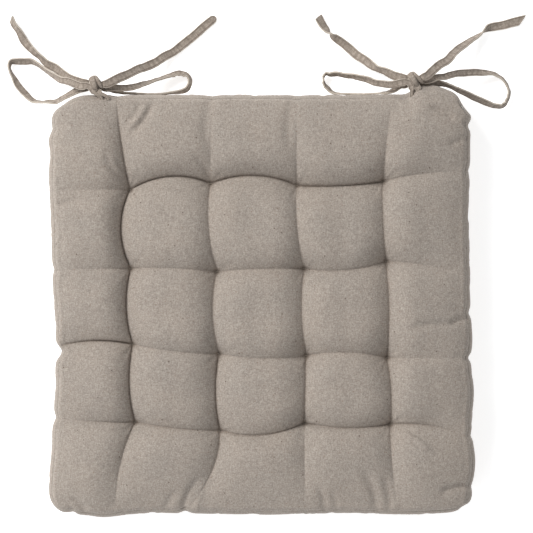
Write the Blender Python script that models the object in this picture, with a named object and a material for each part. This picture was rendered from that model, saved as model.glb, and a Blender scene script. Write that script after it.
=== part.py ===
"""A square tufted chair pad with tie tapes knotted in a bow at each rear corner.

Metres, +Z up, +Y to the rear, where the ties are. The origin is the middle of
the underside, on the surface that the pad lies on.
"""

import math

import bmesh
import bpy
import numpy as np
from mathutils import Vector

MM = 0.001
GAP = 0.3 * MM  # between pieces that touch

# The pad
HALF = 200 * MM  # from the centre to the fullest line of a side band
SEAM_INSET = 5 * MM  # the seams lie this far inside that line
SEAM_HALF = HALF - SEAM_INSET
CORNER_RADIUS = 31 * MM  # of the seams, in plan
CLOTH = 1.2 * MM  # the canvas with its turned seam allowance
TOP_SEAM = 46 * MM
TOP_CROWN = 60 * MM
TOP_TUFT = 34 * MM
BOTTOM_SEAM = 10 * MM
BOTTOM_TUFT = 12 * MM
BOTTOM_DROP = 14 * MM  # more than BOTTOM_TUFT, so each pocket rests on a flat
FILLING_GAP = 1.0 * MM
FILLING_INSET = 2 * MM  # the filling's side stands this far inside the seams

# The tufts: a lattice of 4 x 4, which hand tufting leaves a little uneven
CELLS = 5  # pockets along a side
PITCH_X = 80 * MM
PITCH_Y = 76 * MM
TUFT_DRIFT_MM = (  # off the lattice, rows from the rear, columns from the left
    ((-5, -5), (-8, 1), (-6, -1), (-4, 3)),
    ((-4, -4), (-2, -7), (1, -4), (-1, 3)),
    ((-2, 0), (0, -9), (3, -11), (0, -13)),
    ((0, 2), (1, -6), (1, 1), (3, 0)),
)
THREAD_RADIUS = 0.6 * MM
THREAD_SPACING = 2.2 * MM  # from the tuft's centre to each strand
THREAD_BEND = 1.0 * MM
HOLE_NEAR = 1.1 * MM  # a strand's hole runs from here, past the cloth between
HOLE_FAR = 3.6 * MM  # the two strands, to here
HOLE_SIDE = 1.1 * MM
OUTER_LINES = (0.0, 0.19, 0.39, 0.68)  # of the surface grid in an edge pocket

# The ties: folded tape, stitched flat
TAPE_WIDTH = 9 * MM
TAPE_THICKNESS = 1.6 * MM
STEM_WIDTH = 2.4 * MM  # the tape is folded on itself where it is sewn in
STEP = 6 * MM  # along a tape
KNOT_HALF = Vector((6, 7, 8)) * MM
KNOT_BEVEL = 2.5 * MM
KNOTS = {"left": Vector((-157.3, 209, 42)) * MM, "right": Vector((145.6, 212.9, 42)) * MM}
HINGES = {"left": Vector((-149.5, 195.8, 47.2)) * MM, "right": Vector((145.6, 195.8, 47.2)) * MM}

# Each tape's middle line in millimetres, with its roll in degrees: 0 is flat,
# 90 is on edge. The loops and tails start at the knot.
TAPES = {
    "left_stem_1": ((-152.5, 197.3, 47.2, 0), (-155.2, 199, 47.2, 0), (-158, 200.8, 46.8, 0)),
    "left_stem_2": ((-146.5, 197.3, 47.2, 0), (-149.8, 199, 47.2, 0), (-153, 200.8, 46.8, 0)),
    "left_tail_left": (
        (-163.7, 210.5, 41.5, 0), (-170, 210.7, 40, 0), (-177, 213, 35, 5), (-184, 216, 29, 10),
        (-191, 221, 21, 15), (-198, 227, 13.5, 20), (-207, 232, 8.5, 35), (-214, 239, 5.6, 55),
        (-220, 244, 4.6, 45), (-225, 249, 3.4, 25), (-230, 255, 3.2, 15), (-234, 263, 4.5, 40),
        (-238, 268, 5, 52), (-242, 276, 4.8, 48),
    ),
    "left_loop_left": (
        (-163.7, 207, 46, 0), (-170, 207, 45, 0), (-174, 208, 43, 0), (-183, 212, 38, 10),
        (-192, 214.5, 30, 36), (-201, 220.5, 20.5, 58), (-208, 225.5, 13, 66), (-216, 231.5, 8, 66),
        (-222, 234.5, 6, 48), (-228, 234.5, 5.2, 36), (-236, 234.5, 4.8, 40), (-242, 234.2, 4.6, 60),
        (-244, 230.2, 5, 75), (-243, 225.2, 5.2, 80), (-239, 218, 5.2, 60), (-235, 211, 5.6, 35),
        (-229, 204, 6.5, 35), (-221, 196.8, 8.5, 60), (-213, 194.8, 12, 78), (-205, 194.8, 16, 65),
        (-197, 194.3, 21, 50), (-189, 197.8, 26.5, 50), (-181, 201.4, 31.5, 40), (-173, 205, 35.5, 15),
        (-163.7, 206.6, 37, 0),
    ),
    "left_tail_right": (
        (-149.6, 208.9, 45.8, 0), (-147, 208.9, 45.4, 0), (-142, 211.4, 43.5, 0), (-134, 216, 38.5, 0),
        (-126, 220, 32, 5), (-118, 225, 24, 8), (-111, 228, 18, 8), (-101.8, 233, 11, 5),
        (-93.8, 239, 6, 3), (-84.8, 244, 3, 0), (-74.8, 252, 1.8, 0), (-64.8, 260, 1.6, 0),
        (-54.8, 269, 1.6, 0), (-43.8, 278, 1.6, 0),
    ),
    "left_loop_right": (
        (-150.9, 206.6, 41.5, 0), (-147, 206.4, 41, 5), (-142, 206, 39, 15), (-134, 206, 35, 25),
        (-126, 207, 30, 30), (-119, 209, 25, 40), (-113, 211.4, 20.5, 50), (-105, 214.4, 15.5, 65),
        (-97, 217.4, 11, 68), (-89, 220.4, 8, 60), (-82, 222.4, 6.5, 52), (-75, 222.4, 6, 50),
        (-70.8, 220.2, 5.8, 62), (-68.8, 215.2, 6, 72), (-71, 208.4, 6.5, 60), (-76, 205.4, 7, 62),
        (-83, 204.4, 8, 78), (-92, 203, 10.5, 88), (-103, 202, 14.5, 90), (-116, 202, 19.5, 90),
        (-128, 202, 25, 86), (-139, 203, 31, 80), (-145, 205.6, 36, 30), (-150.9, 206.3, 37, 0),
    ),
    "right_stem_1": ((142.6, 196.3, 47.2, 0), (142.6, 200.8, 47.2, 0), (142.6, 205.6, 46.4, 0)),
    "right_stem_2": ((148.6, 196.3, 47.2, 0), (148.6, 200.8, 47.2, 0), (148.6, 205.6, 46.4, 0)),
    "right_tail_left": (
        (139.2, 215, 41.5, 0), (134, 215.4, 40.5, 0), (126, 218, 37, 20), (119, 222, 32.5, 45),
        (112.2, 225.2, 27, 55), (106.2, 229.2, 21, 30), (99.2, 235.2, 14.5, 10), (92.2, 240.2, 9, 5),
        (86.2, 246.2, 5, 5), (79.2, 252.2, 3.2, 15), (72.2, 257.2, 4, 35), (69.2, 259.2, 5.2, 62),
        (67.2, 261.2, 5.9, 90), (64.2, 263.2, 5.6, 120), (62.2, 266.2, 4.6, 142),
        (58.2, 272.2, 3.6, 155), (55.2, 278.2, 3, 158),
    ),
    "right_loop_left": (
        (139.2, 210.6, 46, 0), (132, 210.2, 45, 10), (124, 208.8, 42, 20), (116, 209.8, 38, 32),
        (108, 211.8, 33.5, 42), (102, 214.8, 29, 48), (95, 216.8, 24.5, 53), (88, 218.8, 20, 58),
        (81, 219.8, 15.5, 62), (74, 221.8, 11.5, 66), (67, 221.8, 8.5, 70), (62, 222, 6.5, 78),
        (60, 218, 5.5, 88), (61, 213, 5.4, 75), (64, 209, 5.6, 60), (69, 204.4, 6, 72),
        (78, 203, 8, 86), (92, 202, 12.5, 90), (106, 202, 18.5, 86), (118, 202.4, 26, 76),
        (126, 204.3, 31, 50), (133, 208.9, 35.5, 15), (139.2, 209.5, 37, 0),
    ),
    "right_tail_right": (
        (152.7, 215.4, 46, 0), (157, 216.6, 45, 0), (163, 222, 42, 5), (170, 228, 37.5, 15),
        (178.5, 233.5, 31, 22), (184.5, 240.5, 24, 28), (191.5, 246.5, 17.5, 35),
        (198.5, 251.5, 12.5, 45), (205.5, 256.5, 8.8, 58), (211.5, 260.5, 6.4, 75), (214, 263, 5.4, 90),
        (217, 265, 4.6, 115), (220, 267, 3.6, 145), (224, 268, 2.8, 165), (229, 269, 2.2, 175),
        (235, 270, 1.9, 178), (242, 272, 1.8, 180), (254, 275, 1.8, 180),
    ),
    "right_loop_right": (
        (152.1, 212.6, 41.5, 0), (160, 213.4, 40, 15), (168, 216, 37, 35), (175, 217, 33.5, 30),
        (181, 219, 29.5, 20), (188, 221, 25, 10), (196, 222, 19.5, 5), (206, 223, 14.5, 12),
        (214, 223, 10.5, 34), (222, 223, 7.8, 58), (228, 221, 6.6, 62), (234, 217, 6, 72),
        (238, 211, 5.8, 72), (240, 204, 5.8, 70), (238, 197, 5.8, 70), (235, 192, 5.8, 66),
        (230, 191, 6, 62), (223, 192.2, 7, 55), (215, 195.2, 9, 46), (207, 198.2, 12, 42),
        (198, 202.2, 16, 50), (190, 205.2, 21, 62), (182, 208.2, 26.5, 68), (175, 210, 30, 60),
        (167, 211, 33.5, 35), (159, 211, 36, 12), (152.1, 210.8, 37, 0),
    ),
}

# Colour and roughness; nothing here is metal
CANVAS = ((0.36, 0.31, 0.27), 0.9)
CANVAS_UNDER = ((0.34, 0.30, 0.26), 0.9)
TAPE = ((0.33, 0.29, 0.25), 0.88)
THREAD = ((0.42, 0.38, 0.33), 0.7)
FIBRE = ((0.80, 0.79, 0.76), 0.95)


def clear_scene():
    for item in list(bpy.data.objects):
        bpy.data.objects.remove(item, do_unlink=True)


def material(name, look):
    """A material of the part's own, with its colour and roughness."""
    colour, roughness = look
    made = bpy.data.materials.new(name)
    made.use_nodes = True
    shader = made.node_tree.nodes["Principled BSDF"]
    shader.inputs["Base Color"].default_value = (*colour, 1.0)
    shader.inputs["Roughness"].default_value = roughness
    shader.inputs["Metallic"].default_value = 0.0
    return made


def place(name, data, look, parent=None):
    """Puts a mesh or a curve in the scene under its sub-part's name."""
    item = bpy.data.objects.new(name, data)
    data.materials.append(material(name, look))
    bpy.context.scene.collection.objects.link(item)
    item.parent = parent
    return item


def closed_sheet(name, front, back, is_open=None):
    """A mesh between two grids of points of one size, with a rim round every edge and hole."""
    rows, columns = len(front), len(front[0])
    form = bmesh.new()
    faces_of = [[[form.verts.new(p) for p in row] for row in grid] for grid in (front, back)]
    kept = {
        (i, j)
        for i in range(rows - 1)
        for j in range(columns - 1)
        if not (is_open and is_open(i, j))
    }
    for i, j in sorted(kept):
        corners = ((i, j), (i + 1, j), (i + 1, j + 1), (i, j + 1))
        beside = ((i, j - 1), (i + 1, j), (i, j + 1), (i - 1, j))
        for grid in faces_of:
            form.faces.new([grid[a][b] for a, b in corners])
        for side, (start, neighbour) in enumerate(zip(corners, beside)):
            if neighbour in kept:
                continue
            end = corners[(side + 1) % 4]
            form.faces.new([grid[a][b] for grid, (a, b) in
                            ((faces_of[0], start), (faces_of[0], end),
                             (faces_of[1], end), (faces_of[1], start))])
    loose = [v for v in form.verts if not v.link_faces]
    bmesh.ops.delete(form, geom=loose, context="VERTS")
    bmesh.ops.recalc_face_normals(form, faces=form.faces[:])
    mesh = bpy.data.meshes.new(name)
    form.to_mesh(mesh)
    form.free()
    mesh.shade_smooth()
    mesh.set_sharp_from_angle(angle=math.radians(40))
    return mesh


# The quilted surface, in pocket coordinates: u and v run from 0 to CELLS


def tuft_place(column, row, half):
    """Where a tuft lies in plan, or the edge point that its line of stitches runs to."""
    inner_column = min(max(column, 1), CELLS - 1)
    inner_row = min(max(row, 1), CELLS - 1)
    drift_x, drift_y = TUFT_DRIFT_MM[CELLS - 1 - inner_row][inner_column - 1]
    at_edge = (column, row) != (inner_column, inner_row)
    share = 0.5 if at_edge else 1.0
    x = PITCH_X * (column - CELLS / 2) + share * drift_x * MM
    y = PITCH_Y * (row - CELLS / 2) + share * drift_y * MM
    if column in (0, CELLS):
        x = math.copysign(half, column - 1)
    if row in (0, CELLS):
        y = math.copysign(half, row - 1)
    return x, y


def rounded(x, y, half, radius):
    """Draws the corner of a square into a corner of this radius."""
    flat = half - radius
    if abs(x) <= flat or abs(y) <= flat:
        return x, y
    a, b = (abs(x) - flat) / radius, (abs(y) - flat) / radius
    arc_x = flat + radius * a * math.sqrt(1 - b * b / 2)
    arc_y = flat + radius * b * math.sqrt(1 - a * a / 2)
    return math.copysign(arc_x, x), math.copysign(arc_y, y)


def plan(u, v, inset=0.0):
    """The plan position of a point of the quilted surface."""
    column, row = min(int(u), CELLS - 1), min(int(v), CELLS - 1)
    s, t = u - column, v - row
    half = SEAM_HALF - inset
    x = y = 0.0
    for i, share_x in ((0, 1 - s), (1, s)):
        for j, share_y in ((0, 1 - t), (1, t)):
            corner = tuft_place(column + i, row + j, half)
            x += share_x * share_y * corner[0]
            y += share_x * share_y * corner[1]
    return rounded(x, y, half, CORNER_RADIUS - inset)


def pillow(u, v):
    """How full the pad is: 0 at a tuft, 1 in the middle of a pocket."""
    across = abs(math.sin(math.pi * u)) ** 0.8
    along = abs(math.sin(math.pi * v)) ** 0.8
    return 0.55 * across * along + 0.45 * (1 - (1 - across) * (1 - along))


def inside_edge(u, v):
    """0 on the outer seam, 1 from half a pocket inwards."""
    depth = min(u, CELLS - u, v, CELLS - v)
    return math.sqrt(min(max(depth, 0.0) / 0.5, 1.0))


def top_height(u, v):
    full = TOP_TUFT + (TOP_CROWN - TOP_TUFT) * pillow(u, v)
    return TOP_SEAM + inside_edge(u, v) * (full - TOP_SEAM)


def bottom_height(u, v):
    full = max(0.0, BOTTOM_TUFT - BOTTOM_DROP * pillow(u, v))
    return BOTTOM_SEAM + inside_edge(u, v) * (full - BOTTOM_SEAM)


def grid_lines(offsets):
    """The surface grid's lines along one side, with extra ones at each tuft."""
    lines = list(OUTER_LINES) + [CELLS - line for line in OUTER_LINES]
    for pocket in range(1, CELLS - 1):
        lines += [pocket + 1 / 3, pocket + 2 / 3]
    for tuft in range(1, CELLS):
        lines += [tuft + offset for offset in offsets]
    return sorted(lines)


def surface_grid():
    far, near, side = HOLE_FAR / PITCH_X, HOLE_NEAR / PITCH_X, HOLE_SIDE / PITCH_Y
    return grid_lines((-far, -near, near, far)), grid_lines((-side, side))


def near_tuft(u, v):
    """Whether a point is in the slot that a tuft's two strands pass through."""
    off_u, off_v = abs(u - round(u)) * PITCH_X, abs(v - round(v)) * PITCH_Y
    return 0 < round(u) < CELLS and 0 < round(v) < CELLS and off_u < HOLE_FAR and off_v < HOLE_SIDE


def on_bridge(u):
    """Whether a point is on the strip of cloth between a tuft's two strands."""
    return abs(u - round(u)) * PITCH_X < HOLE_NEAR


def quilted(name, upper, lower, look, inset=0.0, bridged=True):
    """A solid between two heights, over the whole pad, with a way through at each tuft."""
    lines_u, lines_v = surface_grid()

    def layer(height):
        return [[(*plan(u, v, inset), height(u, v)) for v in lines_v] for u in lines_u]

    def is_open(i, j):
        u, v = (lines_u[i] + lines_u[i + 1]) / 2, (lines_v[j] + lines_v[j + 1]) / 2
        return near_tuft(u, v) and not (bridged and on_bridge(u))

    place(name, closed_sheet(name, layer(upper), layer(lower), is_open), look)


def make_cover():
    quilted("top_panel", top_height, lambda u, v: top_height(u, v) - CLOTH, CANVAS)
    quilted("bottom_panel", lambda u, v: bottom_height(u, v) + CLOTH, bottom_height, CANVAS_UNDER)


def make_filling():
    inside = CLOTH + FILLING_GAP
    quilted(
        "filling",
        lambda u, v: top_height(u, v) - inside,
        lambda u, v: bottom_height(u, v) + inside,
        FIBRE,
        inset=FILLING_INSET,
        bridged=False,
    )


def side_band_mesh():
    """The rear band, from the middle of one corner to the middle of the next."""
    corner = SEAM_HALF - CORNER_RADIUS
    start = math.pi / 4 + GAP / CORNER_RADIUS
    angles = np.linspace(start, math.pi / 2, 5)
    bends = [(corner, a) for a in angles] + [(-corner, math.pi - a) for a in angles[::-1]]
    low, high = BOTTOM_SEAM + CLOTH + GAP, TOP_SEAM - CLOTH - GAP
    outer, inner = [], []
    for centre, angle in bends:
        outward = Vector((math.cos(angle), math.sin(angle), 0))
        foot = Vector((centre, corner, 0)) + CORNER_RADIUS * outward
        column = []
        for share in np.linspace(0, 1, 6):
            bulge = SEAM_INSET * math.sin(math.pi * share) ** 0.6 if 0 < share < 1 else 0.0
            column.append(foot + bulge * outward + Vector((0, 0, low + share * (high - low))))
        outer.append(column)
        inner.append([point - CLOTH * outward for point in column])
    return closed_sheet("side_band", outer, inner)


def make_side_bands():
    mesh = side_band_mesh()
    for turn, side in enumerate(("rear", "left", "front", "right")):
        band = place(f"side_band_{side}", mesh.copy(), CANVAS)
        band.rotation_euler.z = turn * math.pi / 2


def thread_mesh(name):
    """One tuft's twine: a closed loop over the top panel's bridge and under the bottom one's."""
    u, v = 1 + HOLE_NEAR / PITCH_X, 1 + HOLE_SIDE / PITCH_Y
    high = top_height(u, v) + GAP + THREAD_RADIUS
    low = bottom_height(u, v) - GAP - THREAD_RADIUS
    points = []
    for side_x, z, start in ((1, high, 0), (-1, high, 90), (-1, low, 180), (1, low, 270)):
        centre_x = side_x * (THREAD_SPACING - THREAD_BEND)
        centre_z = z - THREAD_BEND if z == high else z + THREAD_BEND
        for turn in (0, 45, 90):
            angle = math.radians(start + turn)
            points.append((centre_x + THREAD_BEND * math.cos(angle), 0,
                           centre_z + THREAD_BEND * math.sin(angle)))
    curve = bpy.data.curves.new(name, "CURVE")
    curve.dimensions = "3D"
    line = curve.splines.new("POLY")
    line.points.add(len(points) - 1)
    for point, place_at in zip(line.points, points):
        point.co = (*place_at, 1)
    line.use_cyclic_u = True
    curve.bevel_depth = THREAD_RADIUS
    curve.bevel_resolution = 1
    return curve


def make_threads():
    for row in range(1, CELLS):
        for column in range(1, CELLS):
            name = f"tuft_thread_{CELLS - row}_{column}"
            thread = place(name, thread_mesh(name), THREAD)
            thread.location = (*tuft_place(column, row, SEAM_HALF), 0)


# The ties


def smooth_route(points):
    """Evenly spaced points on a smooth curve through a tape's own points."""
    ends = [points[0]] + list(points) + [points[-1]]
    knots = np.array(ends, float)
    fine = []
    for i in range(1, len(knots) - 2):
        before, a, b, after = knots[i - 1:i + 3]
        for t in np.linspace(0, 1, 12, endpoint=False):
            fine.append(0.5 * (2 * a + (b - before) * t
                               + (2 * before - 5 * a + 4 * b - after) * t ** 2
                               + (3 * a - before - 3 * b + after) * t ** 3))
    fine = np.array(fine + [knots[-1]])
    fine[:, :3] *= MM
    along = np.concatenate([[0], np.cumsum(np.linalg.norm(np.diff(fine[:, :3], axis=0), axis=1))])
    count = max(3, round(along[-1] / STEP) + 1)
    even = np.linspace(0, along[-1], count)
    return np.stack([np.interp(even, along, fine[:, k]) for k in range(4)], axis=1)


def tape_mesh(name, points, width, origin):
    """A flat tape along its middle line, rolled as the route says."""
    route = smooth_route(points)
    centres = [Vector(row[:3]) for row in route]
    left, right = [], []
    for i, (centre, row) in enumerate(zip(centres, route)):
        heading = centres[min(i + 1, len(centres) - 1)] - centres[max(i - 1, 0)]
        heading.normalize()
        level = heading.cross(Vector((0, 0, 1))).normalized()
        above = level.cross(heading)
        roll = math.radians(row[3])
        across = math.cos(roll) * level + math.sin(roll) * above
        up = math.cos(roll) * above - math.sin(roll) * level
        side, face = across * width / 2, up * TAPE_THICKNESS / 2
        start = centre - origin
        left.append([start - side - face, start - side + face])
        right.append([start + side - face, start + side + face])
    return closed_sheet(name, left, right)


def knot_mesh(name):
    mesh = bpy.data.meshes.new(name)
    form = bmesh.new()
    bmesh.ops.create_cube(form, size=2)
    bmesh.ops.scale(form, vec=KNOT_HALF, verts=form.verts[:])
    bmesh.ops.bevel(form, geom=form.edges[:], offset=KNOT_BEVEL, segments=2, affect="EDGES",
                    profile=0.5)
    form.to_mesh(mesh)
    form.free()
    mesh.shade_smooth()
    return mesh


def make_ties(side):
    """One corner's bow, hung from an empty on the line where its tapes are sewn in."""
    hinge = bpy.data.objects.new(f"{side}_tie_hinge", None)
    hinge.location = HINGES[side]
    bpy.context.scene.collection.objects.link(hinge)
    name = f"{side}_knot"
    knot = place(name, knot_mesh(name), TAPE, parent=hinge)
    knot.location = KNOTS[side] - HINGES[side]
    for name, points in TAPES.items():
        if name.startswith(side):
            width = STEM_WIDTH if "stem" in name else TAPE_WIDTH
            place(name, tape_mesh(name, points, width, HINGES[side]), TAPE, parent=hinge)


def main():
    clear_scene()
    make_cover()
    make_side_bands()
    make_filling()
    make_threads()
    for side in ("left", "right"):
        make_ties(side)


main()
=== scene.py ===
"""The looks of a tufted canvas seat pad with four ties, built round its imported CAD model.

Lengths are metres. Plain lists of places are millimetres, and MM turns them into metres.
"""
import math

import bpy
import numpy as np
from mathutils import Matrix, Vector, noise


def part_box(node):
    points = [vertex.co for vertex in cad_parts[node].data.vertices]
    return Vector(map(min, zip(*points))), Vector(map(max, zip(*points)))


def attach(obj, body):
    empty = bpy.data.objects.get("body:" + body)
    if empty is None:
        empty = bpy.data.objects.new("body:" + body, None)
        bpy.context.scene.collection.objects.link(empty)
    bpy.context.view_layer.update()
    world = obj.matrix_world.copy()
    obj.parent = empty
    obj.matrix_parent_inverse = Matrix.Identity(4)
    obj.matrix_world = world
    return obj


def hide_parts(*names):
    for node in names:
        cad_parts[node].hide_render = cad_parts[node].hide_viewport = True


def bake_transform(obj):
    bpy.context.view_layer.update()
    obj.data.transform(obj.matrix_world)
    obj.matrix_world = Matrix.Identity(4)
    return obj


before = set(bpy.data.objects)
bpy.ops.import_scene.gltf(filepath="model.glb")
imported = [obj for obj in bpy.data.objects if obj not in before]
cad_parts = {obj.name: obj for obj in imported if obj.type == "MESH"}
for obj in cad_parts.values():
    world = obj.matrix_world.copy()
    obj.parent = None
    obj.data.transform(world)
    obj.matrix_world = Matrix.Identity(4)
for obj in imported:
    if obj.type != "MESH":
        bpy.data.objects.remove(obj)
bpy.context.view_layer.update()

MM = 0.001

# ---------------------------------------------------------------- camera and light

EYE = Vector((0.0052, 0.0360, 2.011))
LENS_MM = 140.0


def make_camera():
    """A long lens straight above the pad, with the ties at the top of the picture."""
    data = bpy.data.cameras.new("camera")
    data.lens = LENS_MM
    data.sensor_width = 36.0
    camera = bpy.data.objects.new("camera", data)
    camera.location = EYE
    bpy.context.scene.collection.objects.link(camera)
    bpy.context.scene.camera = camera


make_camera()

# ---------------------------------------------------------------- node trees


class Tree:
    """Short ways to add shader nodes to one material."""

    def __init__(self, name):
        self.material = bpy.data.materials.new(name)
        self.material.use_nodes = True
        self.nodes = self.material.node_tree.nodes
        self.shader = self.nodes["Principled BSDF"]

    def link(self, source, target):
        self.material.node_tree.links.new(source, target)

    def node(self, kind, inputs=(), **settings):
        made = self.nodes.new("ShaderNode" + kind)
        for key, value in settings.items():
            setattr(made, key, value)
        for key, value in dict(inputs).items():
            if isinstance(value, bpy.types.NodeSocket):
                self.link(value, made.inputs[key])
            else:
                made.inputs[key].default_value = value
        return made

    def math(self, operation, a, b=0.0, c=0.0):
        return self.node("Math", {0: a, 1: b, 2: c}, operation=operation).outputs[0]

    def ramp(self, value, low, high, to_low=0.0, to_high=1.0):
        inputs = {"Value": value, "From Min": low, "From Max": high, "To Min": to_low, "To Max": to_high}
        return self.node("MapRange", inputs).outputs["Result"]

    def mix(self, factor, a, b, blend="MIX"):
        made = self.node("Mix", data_type="RGBA", blend_type=blend)
        for socket, value in zip((made.inputs[0], made.inputs[6], made.inputs[7]), (factor, a, b)):
            if isinstance(value, bpy.types.NodeSocket):
                self.link(value, socket)
            else:
                socket.default_value = value
        return made.outputs[2]

    def noise(self, vector, scale, detail=2.0, roughness=0.5):
        inputs = {"Vector": vector, "Scale": scale, "Detail": detail, "Roughness": roughness}
        return self.node("TexNoise", inputs).outputs["Fac"]

    def stretched(self, vector, across, along):
        """The vector scaled unevenly, so that a noise read from it makes streaks."""
        made = self.node("Mapping", {"Vector": vector, "Scale": (across, along, across)})
        return made.outputs["Vector"]

    def finish(self, colour, height, strength, distance, roughness, sheen):
        """Gives the shader its colour, its relief, its roughness and its sheen."""
        relief = self.node("Bump", {"Height": height, "Strength": strength, "Distance": distance})
        self.link(relief.outputs["Normal"], self.shader.inputs["Normal"])
        self.link(colour, self.shader.inputs["Base Color"])
        self.link(roughness, self.shader.inputs["Roughness"])
        self.shader.inputs["Sheen Weight"].default_value = sheen
        return self.material


CLOTH_MAP = "cloth_map"  # each point's place on the flat cloth, along weft, warp and thickness
PAINTED_SHADE_LAYER = "painted_crease_shade"  # where painted shade darkens the cloth: 1 down in a sharp crease and at a tuft, and 0 elsewhere
YARN = 0.75 * MM         # from one yarn to the next
YARN_WANDER = 0.8 * MM   # how far the yarns stray from straight
WEAVE_RELIEF = 0.22 * MM
GREIGE_WARM = (0.418, 0.354, 0.303, 1.0)
GREIGE_COOL = (0.380, 0.332, 0.292, 1.0)
# Painted shade: the dark brown that the cloth is darkened towards in its creases and round its tufts
PAINTED_CREASE_SHADE_COLOUR = (0.135, 0.095, 0.068, 1.0)
HUSK = (0.085, 0.052, 0.034, 1.0)
RUST = (0.20, 0.115, 0.075, 1.0)
# Painted shade for a tape's middle and groove, and painted highlight for its folded edges
TAPE_PAINTED_SHADE = (0.155, 0.122, 0.098, 1.0)
TAPE_PAINTED_HIGHLIGHT = (0.60, 0.54, 0.465, 1.0)
TAPE_TINT = (1.12, 1.10, 1.07)
PALE_SLUB = (0.46, 0.42, 0.37, 1.0)

# Across a tape from its middle line: where its groove begins and ends, and where its rim with its painted
# highlight begins
GROOVE_START = (2.3 * MM, 2.8 * MM)
GROOVE_END = (3.0 * MM, 3.5 * MM)
RIM_START = (3.4 * MM, 4.2 * MM)


def tape_painted_light(tree, place, colour):
    """Painted light on a tape: painted highlights on its folded edges, and patchy painted shade over its
    sunken middle and in its groove.
    """
    off_middle = tree.math("ABSOLUTE", tree.node("SeparateXYZ", {"Vector": place}).outputs["X"])
    rim = tree.ramp(off_middle, *RIM_START)
    in_groove = tree.ramp(off_middle, *GROOVE_START)
    groove = tree.math("MULTIPLY", in_groove, tree.ramp(off_middle, *GROOVE_END, 1.0, 0.0))
    shade_blotches = tree.noise(tree.stretched(place, 110.0, 320.0), 1.0, 3.0, 0.6)
    # Painted shade: patchy darkening over the middle, away from the rims
    middle = tree.math("MULTIPLY", tree.math("SUBTRACT", 1.0, rim), tree.ramp(shade_blotches, 0.38, 0.62, 0.05, 0.55))
    colour = tree.mix(middle, colour, TAPE_PAINTED_SHADE)
    # Painted shade in the groove
    colour = tree.mix(tree.math("MULTIPLY", groove, 0.7), colour, TAPE_PAINTED_SHADE)
    # Painted highlight on the folded edges
    return tree.mix(tree.math("MULTIPLY", rim, 0.7), colour, TAPE_PAINTED_HIGHLIGHT)


def specks(tree, place, colour, ink, strength, scale, edge, channel, chosen):
    """Specks of ink in a few of the cells of a Voronoi pattern, the ones that a colour channel picks."""
    cells = tree.node("TexVoronoi", {"Vector": place, "Scale": scale, "Randomness": 1.0})
    near = tree.ramp(cells.outputs["Distance"], *edge, 1.0, 0.0)
    lot = tree.node("SeparateColor", {0: cells.outputs["Color"]})
    picked = tree.math("MULTIPLY", tree.ramp(lot.outputs[channel], *chosen), strength)
    return tree.mix(tree.math("MULTIPLY", near, picked), colour, ink)


def canvas_material(name, tint=(1.0, 1.0, 1.0), on_tape=False):
    """Plain-woven unbleached cotton and linen: yarns over and under, thick and thin, with dark husks, painted
    shade in its creases and round its tufts, and on tape painted highlights and shade.
    """
    tree = Tree(name)
    place = tree.node("Attribute", attribute_name=CLOTH_MAP).outputs["Vector"]
    wander = tree.noise(place, 90.0, 2.0)
    split = tree.node("SeparateXYZ", {"Vector": place})
    turn = math.pi / YARN
    across, along = (
        tree.math("MULTIPLY", tree.math("MULTIPLY_ADD", wander, YARN_WANDER, split.outputs[axis]), turn)
        for axis in "XY"
    )
    over = tree.math("MULTIPLY", tree.math("SINE", across), tree.math("SINE", along))
    warp_yarn = tree.math("ABSOLUTE", tree.math("COSINE", across))
    weft_yarn = tree.math("ABSOLUTE", tree.math("COSINE", along))
    gaps = tree.math("MULTIPLY", warp_yarn, weft_yarn)

    warp_slub = tree.noise(tree.stretched(place, 1250.0, 260.0), 1.0, 2.0)
    weft_slub = tree.noise(tree.stretched(place, 300.0, 1250.0), 1.0, 2.0)
    slub = tree.math("ADD", warp_slub, weft_slub)
    grain = tree.noise(place, 820.0, 3.0, 0.75)
    patches = tree.noise(place, 30.0, 3.0, 0.6)
    fine_patches = tree.noise(place, 300.0, 2.0, 0.6)

    colour = tree.mix(tree.ramp(patches, 0.2, 0.8), GREIGE_COOL, GREIGE_WARM)
    colour = tree.mix(tree.ramp(slub, 0.85, 1.2, 0.0, 0.45), colour, PALE_SLUB)
    shade = tree.ramp(grain, 0.25, 0.75, 0.62, 1.34)
    for pattern, low, high in ((warp_slub, 0.93, 1.07), (weft_slub, 0.94, 1.06), (fine_patches, 0.96, 1.04)):
        shade = tree.math("MULTIPLY", shade, tree.ramp(pattern, 0.3, 0.7, low, high))
    shade = tree.math("MULTIPLY", shade, tree.ramp(gaps, 0.0, 0.7, 1.05, 0.80))
    grey = tree.node("CombineColor", {0: shade, 1: shade, 2: shade}).outputs[0]
    colour = tree.mix(1.0, colour, grey, "MULTIPLY")
    colour = tree.mix(1.0, colour, (*tint, 1.0), "MULTIPLY")

    # Painted shade: the cloth darkens towards a brown in its sharp creases and round its tufts
    painted_crease_shade = tree.node("Attribute", attribute_name=PAINTED_SHADE_LAYER).outputs["Fac"]
    colour = tree.mix(tree.math("MULTIPLY", painted_crease_shade, 0.6), colour, PAINTED_CREASE_SHADE_COLOUR)
    colour = specks(tree, place, colour, HUSK, 0.75, 150.0, (0.07, 0.13), 0, (0.80, 0.84))
    colour = specks(tree, place, colour, RUST, 0.55, 330.0, (0.12, 0.24), 1, (0.86, 0.92))
    # On tape: painted highlights on the edges and painted shade in the middle and groove
    if on_tape:
        colour = tape_painted_light(tree, place, colour)

    height = tree.math("ADD", tree.math("MULTIPLY", over, 0.35), tree.math("MULTIPLY", slub, 0.6))
    height = tree.math("MULTIPLY_ADD", grain, 0.9, height)
    tree.shader.inputs["Specular IOR Level"].default_value = 0.22
    tree.shader.inputs["Sheen Roughness"].default_value = 0.6
    return tree.finish(colour, height, 0.55, WEAVE_RELIEF, tree.ramp(grain, 0.2, 0.8, 0.84, 0.97), 0.10)


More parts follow.
